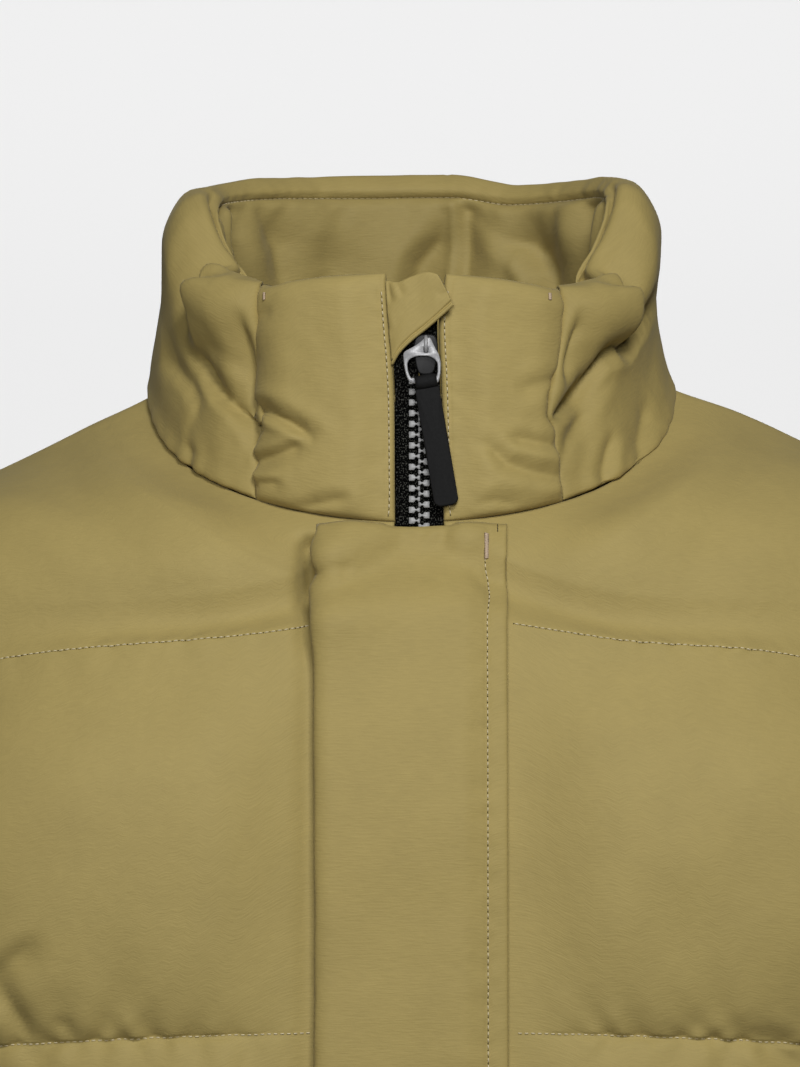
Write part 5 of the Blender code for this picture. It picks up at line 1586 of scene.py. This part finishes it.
def make_slider():
    """A shield with rounded corners, and a bail that arches from its face. Each triangle's
    finish goes with it: 0 for the shield and 1 for the bail."""
    low, high = np.array(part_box("zip_slider"))
    middle, half_height = (low + high) / 2, (high[2] - low[2]) / 2
    turn = np.linspace(0, 2 * np.pi, 40, endpoint=False)
    x, z = (np.sign(at) * np.abs(at) ** power
            for at, power in ((np.cos(turn), 0.5), (np.sin(turn), 0.55)))
    width = 0.0053 - 0.0013 * ease(-0.2, 1.0, -z)
    points, faces = plate(np.stack([x * width, z * half_height], axis=-1), SHIELD_LAYERS)
    face = low[1] + SHIELD_FRONT
    arch = np.linspace(0, np.pi, 24)
    path = np.stack([0 * arch, -0.0041 * np.sin(arch), 0.0036 * np.cos(arch)], axis=-1)
    bail = tube(path + [HINGE[0], face + 0.0002, HINGE[2]], 0.0006, 12, 1.3)
    slider = joined("slider_body", [(points + [middle[0], face, middle[2]], faces), bail])
    return slider, [0] * len(faces) + [1] * len(bail[1])


def outline_of(source, count):
    """A closed loop from a table of half widths by height, read down one side and up the other,
    spaced evenly and turning against the clock."""
    z = np.linspace(source["z"][0], source["z"][-1], 200)
    left, right = (smooth_curve(-source["z"], source[k], -z) for k in ("left", "right"))
    loop = np.concatenate([np.stack([-left, z], -1), np.stack([right, z], -1)[::-1]])
    loop = np.concatenate([loop, loop[:1]])
    run = run_length(loop, 0)
    return sampled(loop, run, np.linspace(0, run[-1], count, endpoint=False))


def make_ring():
    """A bell-shaped plate with a hole for the tab's loop and a slot for the slider's arch."""
    loops = [outline_of(RING_OUTLINE, 150)]
    loops += [outline_of(hole, 90)[::-1] for hole in (RING_HOLE, RING_SLOT)]
    points, faces = pierced(loops, RING_THICK, BEVEL)
    return joined("pull_ring_bar", [(tilted(points, HINGE), faces)], smooth=False)


def make_tab():
    """A strap with a half round edge and rounded corners, and a broad flat loop at its head."""
    turn = np.radians(np.linspace(0, 90, 9))
    upper = np.stack([np.sin(turn), np.cos(turn)], axis=-1) * TAB_SHOULDER
    lower = np.stack([np.cos(turn), -np.sin(turn)], axis=-1) * TAB_CORNER
    side = np.linspace(-0.0075, TAB_CORNER - TAB_LENGTH + 0.004, 14)
    half = np.concatenate([
        upper + [TAB_HALF_WIDTH - TAB_SHOULDER, -0.0037],
        np.stack([np.full(14, TAB_HALF_WIDTH), side], axis=-1),
        lower + [TAB_HALF_WIDTH - TAB_CORNER, TAB_CORNER - TAB_LENGTH],
    ])
    outline = np.concatenate([half, (half * [-1, 1])[::-1]])
    bend = np.radians(np.linspace(-90, 90, 9))
    layers = [(0.0009 * (1 - math.cos(a)), -0.0002 * np.sign(a) - 0.0009 * math.sin(a)) for a in bend]
    turn = np.linspace(0, 2 * np.pi, 36, endpoint=False)
    loop = 0.0026 * np.stack([0 * turn, np.cos(turn), np.sin(turn)], axis=-1)
    shapes = plate(outline, layers), tube(loop, 0.00055, 10, 9.0, closed=True)
    return joined("pull_tab_body", [(tilted(p, FOOT, TAB_LEAN), f) for p, f in shapes])


slider, slider_parts = make_slider()
ring, tab = make_ring(), make_tab()
for made, node in ((ring, "pull_ring"), (tab, "pull_tab"), (slider, "zip_slider")):
    corners = np.array([tuple(v.co) for v in made.data.vertices])
    off = np.abs(np.array([corners.min(axis=0), corners.max(axis=0)]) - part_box(node)).max()
    print(node, "box differs by mm:", round(float(off) * 1000, 2))

# %% [markdown]
# Stitches are small, but a quilted seam without them reads as a crease. Each is a short
# capsule of thread that lies along its seam with both ends sunk in the cloth. The seam's line is
# read off the finished surface, walked at an even pitch, and all the stitches of a piece are
# placed as one array. Between them, the same capsules, dark, shorter and sunk deeper, paint the
# shade in the needle holes, along the stitched edges and the highest quilted seam.

# %% Stitches
STITCH_PITCH = 0.0028
STITCH_LENGTH = 0.0021
STITCH_SIDES = 5
FULL_SHARE = 0.62
SUNK = 1.4
THREAD = 0.0003
HEM_STITCH = 0.012


def capsule():
    """A short bar of thread along X: two rings and two poles, the poles sunk in the cloth."""
    turn = np.linspace(0, 2 * np.pi, STITCH_SIDES, endpoint=False)
    circle = np.stack([0 * turn, np.cos(turn), np.sin(turn)], axis=-1) * THREAD
    half = STITCH_LENGTH / 2
    rings = [circle + [way * FULL_SHARE * half, 0, 0] for way in (-1, 1)]
    return lofted(rings, [[way * half, 0, -SUNK * THREAD] for way in (-1, 1)])


def walked(line, normals, skip):
    """Even steps along a line: places, tangents and normals there."""
    run = run_length(line, 0)
    at = (np.arange(int(run[-1] / STITCH_PITCH)) + skip) * STITCH_PITCH
    at = at[at < run[-1]]
    place, ahead, behind = (sampled(line, run, at + step) for step in (0, 0.0004, -0.0004))
    tangent, facing = unit(ahead - behind), sampled(normals, run, at)
    facing = unit(facing - tangent * (facing * tangent).sum(axis=-1, keepdims=True))
    return place, tangent, facing


def sewn(name, lines, seed, skip=0.5, size=1.0, lift=1.05):
    """All the stitches of some lines as one object, each turned a little at random."""
    chance = np.random.default_rng(seed)
    parts = [walked(line, normals, skip) for line, normals in lines]
    place, tangent, facing = (np.concatenate(part) for part in zip(*parts))
    lean = chance.normal(0, 0.05, len(place))[:, None]
    tangent = unit(tangent + np.cross(facing, tangent) * lean)
    frames = np.stack([tangent, np.cross(facing, tangent), facing], axis=1)
    points, corners = capsule()
    shape = points * [size, 1, 1], corners
    print(name, "stitches:", len(place))
    return add_mesh(name, *scattered(shape, place + facing * THREAD * lift, frames))


def row_line(piece, row, keep=None):
    """The line of one row of a piece's grid, with its normals, or the part to keep of it."""
    line, normals = piece["outer"][:, row], piece["normals"][:, row]
    return (line, normals) if keep is None else (line[keep(line)], normals[keep(line)])


def quilt_lines(piece, levels, keep=None):
    """The rows of a piece's grid that lie on its quilted seams."""
    rows = [int(np.argmin(np.abs(piece["rows"] - level))) for level in levels]
    return [row_line(piece, row, keep) for row in rows]


def hem_row(piece):
    """The row a little above a piece's lower edge."""
    up = run_length(piece["outer"], 1).mean(axis=0)
    return row_line(piece, int(np.argmin(np.abs(up - HEM_STITCH))))


def column_line(outer, normals, distance, away):
    """The line along a grid that stays at one distance from its edge."""
    at = np.array([np.interp(away, d, np.arange(len(d))) for d in distance.T])
    low = np.clip(np.floor(at).astype(int), 0, outer.shape[0] - 2)
    share = (at - low)[:, None]
    rows = np.arange(outer.shape[1])
    line, facing = (
        grid[low, rows] * (1 - share) + grid[low + 1, rows] * share for grid in (outer, normals)
    )
    return line, unit(facing)


def beside_flap(line):
    """Which points of a line show beside the flap."""
    return np.abs(line[:, 0]) > FLAP_SEAM + 0.001


fronts = front_left, front_right
front_lines = [line for front in fronts for line in quilt_lines(front, (1, 2, 3, 4), beside_flap)]
front_lines += [hem_row(front) for front in fronts]
back_lines = quilt_lines(back, (1, 2, 3, 4)) + [hem_row(back)]
sleeve_lines = []
for sleeve in (sleeve_left, sleeve_right):
    whole = {key: np.concatenate([sleeve[key], sleeve[key][:1]]) for key in ("outer", "normals")}
    sleeve_lines += quilt_lines({**whole, "rows": sleeve["rows"]}, (1, 2, 3))
    sleeve_lines.append(hem_row({key: grid[:, ::-1] for key, grid in whole.items()}))
turned_flap = [flap[key][::-1] for key in ("outer", "normals", "to_seam")]
edge_lines = [[part[:-4] for part in column_line(*turned_flap, FLAP_STITCH)]]
for front, way in ((collar_front_left, 1), (collar_front_right, -1)):
    outer, normals = front["outer"][::way], front["normals"][::way]
    line = column_line(outer, normals, run_length(outer, 0), ZIP_STITCH)
    edge_lines.append([part[2:-5] for part in line])
edge_lines.append([collar[key][4:-4, -3] for key in ("outer", "normals")])
threads = [
    sewn("quilt_stitches_front", front_lines, 3),
    sewn("quilt_stitches_back", back_lines, 4),
    sewn("quilt_stitches_sleeves", sleeve_lines, 5),
    sewn("edge_stitches", edge_lines, 6),
]
# Dark capsules that paint the shade in the needle holes.
holes = sewn("needle_holes", edge_lines + front_lines[3:4] + front_lines[7:8], 7, 0.0, 0.3, 0.45)

# %% [markdown]
# A bartack is a dense bar of zigzag thread where a seam ends and would otherwise tear. There
# is one at the head of the flap's stitching and one at the top of each of the collar's front
# seams. Beside the first a few dark threads paint the shade in the nick in the flap's top edge.

# %% Bartacks
SLANT = 0.28


def bartack(piece, x, z, height, width, count):
    """Short threads laid side by side up a bar, slanting one way and then the other, at the
    grid's point that lies nearest a width and a height."""
    off = np.hypot(piece["outer"][..., 0] - x, piece["outer"][..., 2] - z)
    nearest_point = np.unravel_index(np.argmin(off), off.shape)
    place, facing = piece["outer"][nearest_point], unit(piece["normals"][nearest_point])
    across = unit(np.cross(facing, np.cross([1.0, 0.0, 0.0], facing)))
    up = unit(np.cross(facing, across))
    up = up if up[2] > 0 else -up
    centres = place + up * (np.linspace(-0.5, 0.5, count) * height)[:, None]
    slant = np.where(np.arange(count) % 2 == 0, SLANT, -SLANT)[:, None]
    along = unit(across + up * slant)
    thick = np.cross(facing, along) * 1.25, np.repeat(facing[None], count, 0) * 1.3
    frames = np.stack([along * width / STITCH_LENGTH, *thick], axis=1)
    return scattered(capsule(), centres + facing * 0.0004, frames)


# A few dark threads that paint the shade in the nick at the flap's top edge.
slit_shadow = add_mesh("flap_slit", *bartack(flap, 0.0366, -0.0604, 0.0034, 0.0004, 6))
tacks = joined("bartacks", [
    bartack(flap, 0.0318, -0.0672, 0.0105, 0.0024, 30),
    bartack(collar_front_left, 0.0602, 0.0405, 0.003, 0.0018, 9),
    bartack(collar_front_right, -0.064, 0.041, 0.003, 0.0014, 8),
])
print("bartacks have", len(tacks.data.polygons), "faces")

# %% [markdown]
# The cloth is a matt polyester with a fine crosswise rib. Its colour is nearly even, so a soft
# mottle a few centimetres wide and a finer one keep it from looking like paint. The rib is a
# noise stretched along the cloth by its UV map in metres, which gives broken threads where a
# plain wave would give ruled lines. Sheen lifts the edges as brushed fibres do. These values
# are the same all over, so they sit on the shader's own sockets.

# %% Cloth
OLIVE = (0.337, 0.262, 0.091)
MOTTLE = 0.09


def new_node(tree, kind, **values):
    """A new shader node with some of its settings."""
    made = tree.nodes.new(kind)
    for name, value in values.items():
        setattr(made, name, value)
    return made


def noise(tree, vector, scale, detail=2.0, roughness=0.5):
    """Noise between 0 and 1 over a vector."""
    made = new_node(tree, "ShaderNodeTexNoise")
    made.inputs["Scale"].default_value = scale
    made.inputs["Detail"].default_value = detail
    made.inputs["Roughness"].default_value = roughness
    tree.links.new(vector, made.inputs["Vector"])
    return made.outputs["Fac"]


def stretched(tree, vector, size):
    """The vector times a size, so that a noise over it is drawn out."""
    mapping = new_node(tree, "ShaderNodeMapping")
    mapping.inputs["Scale"].default_value = size
    tree.links.new(vector, mapping.inputs["Vector"])
    return mapping.outputs["Vector"]


def ramp(tree, factor, low, high):
    """A colour that runs from one to another as the factor rises."""
    made = new_node(tree, "ShaderNodeValToRGB")
    made.color_ramp.elements[0].position, made.color_ramp.elements[1].position = 0.25, 0.75
    made.color_ramp.elements[0].color = (*low, 1)
    made.color_ramp.elements[1].color = (*high, 1)
    tree.links.new(factor, made.inputs["Fac"])
    return made.outputs["Color"]


def new_material(name, roughness, **sockets):
    """A material, its node tree and its shader, with constants on the shader's own sockets."""
    made = bpy.data.materials.new(name)
    made.use_nodes = True
    shader = made.node_tree.nodes["Principled BSDF"]
    shader.inputs["Roughness"].default_value = roughness
    for socket, value in sockets.items():
        shader.inputs[socket.replace("_", " ")].default_value = value
    return made, made.node_tree, shader


def bump(tree, shader, height, strength, distance, under=None):
    """A bump on the shader's normal, on top of the one under it."""
    made = new_node(tree, "ShaderNodeBump")
    made.inputs["Strength"].default_value = strength
    made.inputs["Distance"].default_value = distance
    tree.links.new(height, made.inputs["Height"])
    if under is not None:
        tree.links.new(under, made.inputs["Normal"])
    tree.links.new(made.outputs["Normal"], shader.inputs["Normal"])
    return made.outputs["Normal"]


def cloth(name, tint):
    """The olive cloth, tinted lighter or darker where a piece's tint paints light or shade: colour by
    mottle and rib, and three bumps, coarse to fine.
    """
    made, tree, shader = new_material(
        name, 0.68, Sheen_Weight=0.1, Sheen_Roughness=0.45, Specular_IOR_Level=0.22
    )
    shader.inputs["Sheen Tint"].default_value = (0.95, 0.9, 0.7, 1)
    place = new_node(tree, "ShaderNodeTexCoord").outputs["Object"]
    flat = new_node(tree, "ShaderNodeUVMap", uv_map="cloth").outputs["UV"]
    colour = np.array(OLIVE) * tint
    mottle = noise(tree, place, 38, 4.0, 0.62)
    rib = noise(tree, stretched(tree, flat, (150, 1150, 1)), 1.0, 2.0, 0.55)
    both = new_node(tree, "ShaderNodeMath", operation="MULTIPLY_ADD")
    both.inputs[1].default_value = 0.5
    half = new_node(tree, "ShaderNodeMath", operation="MULTIPLY")
    half.inputs[1].default_value = 0.5
    tree.links.new(mottle, half.inputs[0])
    tree.links.new(rib, both.inputs[0])
    tree.links.new(half.outputs[0], both.inputs[2])
    shade = ramp(tree, both.outputs[0], colour * (1 - MOTTLE), colour * (1 + MOTTLE))
    tree.links.new(shade, shader.inputs["Base Color"])
    grain = noise(tree, stretched(tree, flat, (900, 900, 1)), 1.0, 1.0, 0.5)
    soft = noise(tree, place, 130, 3.0, 0.55)
    first = bump(tree, shader, soft, 0.35, 0.0009)
    second = bump(tree, shader, rib, 0.6, 0.00026, first)
    bump(tree, shader, grain, 0.25, 0.00012, second)
    return made


# Lit and shaded copies of one cloth. The collar stand is tinted darker and the lining darker still,
# as painted shade; the collar's front pieces and the guard are tinted lighter, as painted light. The
# flap's tint is a slight shift of hue.
LIT_AND_SHADED_TINTS = {
    "olive_cloth": (1, 1, 1),
    "olive_cloth_collar_painted_shade": (0.95, 0.945, 0.925),
    "olive_cloth_stand_front_painted_light": (1.04, 1.035, 1.035),
    "olive_cloth_flap": (1.0, 0.995, 0.98),
    "olive_lining_painted_shade": (0.88, 0.88, 0.88),
}
finishes = {name: cloth(name, tint) for name, tint in LIT_AND_SHADED_TINTS.items()}
print("cloth materials:", len(finishes))

# %% [markdown]
# The rest: pale thread, pinkish bartacks, a dark finish that paints the shade in needle holes,
# black woven tape, grey moulded teeth, a dark coated slider, a satin metal ring and a matt
# rubbery tab. Each gets its own grain, since a real surface this close to the eye is never one
# flat colour.

# %% Threads, tape, plastic and metal
def plain(name, low, high, scale, roughness, height=0.00005, strength=0.3, **sockets):
    """A finish whose colour runs between two shades over a noise, with a fine bump."""
    made, tree, shader = new_material(name, roughness, **sockets)
    place = new_node(tree, "ShaderNodeTexCoord").outputs["Object"]
    mottle = noise(tree, place, scale, 3.0, 0.6)
    tree.links.new(ramp(tree, mottle, low, high), shader.inputs["Base Color"])
    bump(tree, shader, noise(tree, place, scale * 4, 2.0, 0.6), strength, height)
    return made


def woven_tape(name):
    """Near-black cloth in which single threads catch the light."""
    made, tree, shader = new_material(name, 0.85, Specular_IOR_Level=0.03)
    flat = new_node(tree, "ShaderNodeUVMap", uv_map="cloth").outputs["UV"]
    weave = noise(tree, stretched(tree, flat, (1700, 1300, 1)), 1.0, 0.0, 0.5)
    shade = ramp(tree, weave, (0.0006, 0.0006, 0.0005), (0.05, 0.05, 0.043))
    shade.node.color_ramp.elements[0].position = 0.55
    tree.links.new(shade, shader.inputs["Base Color"])
    bump(tree, shader, weave, 0.6, 0.0002)
    return made


PLAIN = (
    ("seam_thread", (0.47, 0.4, 0.24), (0.6, 0.52, 0.33), 900, 0.6, {}),
    # Painted shade: the dark of the needle holes and of the flap's nick.
    ("needle_shadow", (0.045, 0.035, 0.012), (0.075, 0.058, 0.02), 900, 0.8, {}),
    ("bartack_thread", (0.36, 0.27, 0.18), (0.5, 0.38, 0.27), 1200, 0.6, {}),
    ("moulded_teeth", (0.22, 0.22, 0.218), (0.31, 0.31, 0.306), 500, 0.45, {}),
    ("coated_slider", (0.003, 0.003, 0.0032), (0.008, 0.008, 0.0085), 1500, 0.45,
     {"Specular_IOR_Level": 0.25}),
    ("satin_ring", (0.25, 0.25, 0.255), (0.4, 0.4, 0.405), 1500, 0.42, {"Metallic": 0.15}),
    ("rubber_tab", (0.0085, 0.0085, 0.0085), (0.0125, 0.0125, 0.0125), 900, 0.72,
     {"height": 0.00012, "strength": 0.5, "Specular_IOR_Level": 0.1}),
)
for name, *values, more in PLAIN:
    finishes[name] = plain(name, *values, **more)
finishes["zip_tape"] = woven_tape("zip_tape")
print("all finishes:", sorted(finishes))

# %% [markdown]
# Last, each piece gets its finish and the body that carries it, and the frame's part that it
# stands for, if any, is hidden.

# %% Dress the frame
def dress(obj, finish, node=None, body="parka"):
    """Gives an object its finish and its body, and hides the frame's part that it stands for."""
    obj.data.materials.clear()
    obj.data.materials.append(finishes[finish])
    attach(obj, body)
    if node:
        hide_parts(node)


for piece, finish, node, fill in (
    (front_left, "olive_cloth", "front_left", 0.75),
    (front_right, "olive_cloth", "front_right", 0.75),
    (back, "olive_cloth", "back", 0.75),
    (sleeve_left, "olive_cloth", "sleeve_left", 0.75),
    (sleeve_right, "olive_cloth", "sleeve_right", 0.75),
    (collar, "olive_cloth_collar_painted_shade", "collar_back", 0.7),
    (collar_front_left, "olive_cloth_stand_front_painted_light", "collar_front_left", 0.7),
    (collar_front_right, "olive_cloth_stand_front_painted_light", "collar_front_right", 0.7),
    (flap, "olive_cloth_flap", "storm_flap", 0.35),
):
    dress(piece["object"], finish, node)
tape_size = (0.0104, round(zip_run, 3))
for obj, finish, node, slot, size, held, on in (
    # The lining wears the darker copy of the cloth, painted shade inside the collar.
    (lining["object"], "olive_lining_painted_shade", "collar_lining", None, lining["size"], "hung", "collar_back"),
    (guard["object"], "olive_cloth_stand_front_painted_light", "zip_guard", None, (0.034, 0.024), "folded",
     "collar_front_right"),
    (tape_left, "zip_tape", "zip_tape_left", "zip_tape", tape_size, "stretched", "front_left"),
    (tape_right, "zip_tape", "zip_tape_right", "zip_tape", tape_size, "stretched", "front_right"),
):
    dress(obj, finish, node)
dress(teeth, "moulded_teeth", "zip_chain")
dress(slider, "coated_slider", "zip_slider")
slider.data.materials.append(finishes["satin_ring"])
slider.data.polygons.foreach_set("material_index", slider_parts)
dress(ring, "satin_ring", "pull_ring", body="ring")
dress(tab, "rubber_tab", "pull_tab", body="tab")
for obj, finish in ((tacks, "bartack_thread"), (holes, "needle_shadow"), (slit_shadow, "needle_shadow")):
    dress(obj, finish)
for thread in threads:
    dress(thread, "seam_thread")
shown = [obj for obj in bpy.data.objects if obj.type == "MESH" and not obj.hide_render]
print("triangles:", sum(len(face.vertices) - 2 for obj in shown for face in obj.data.polygons))
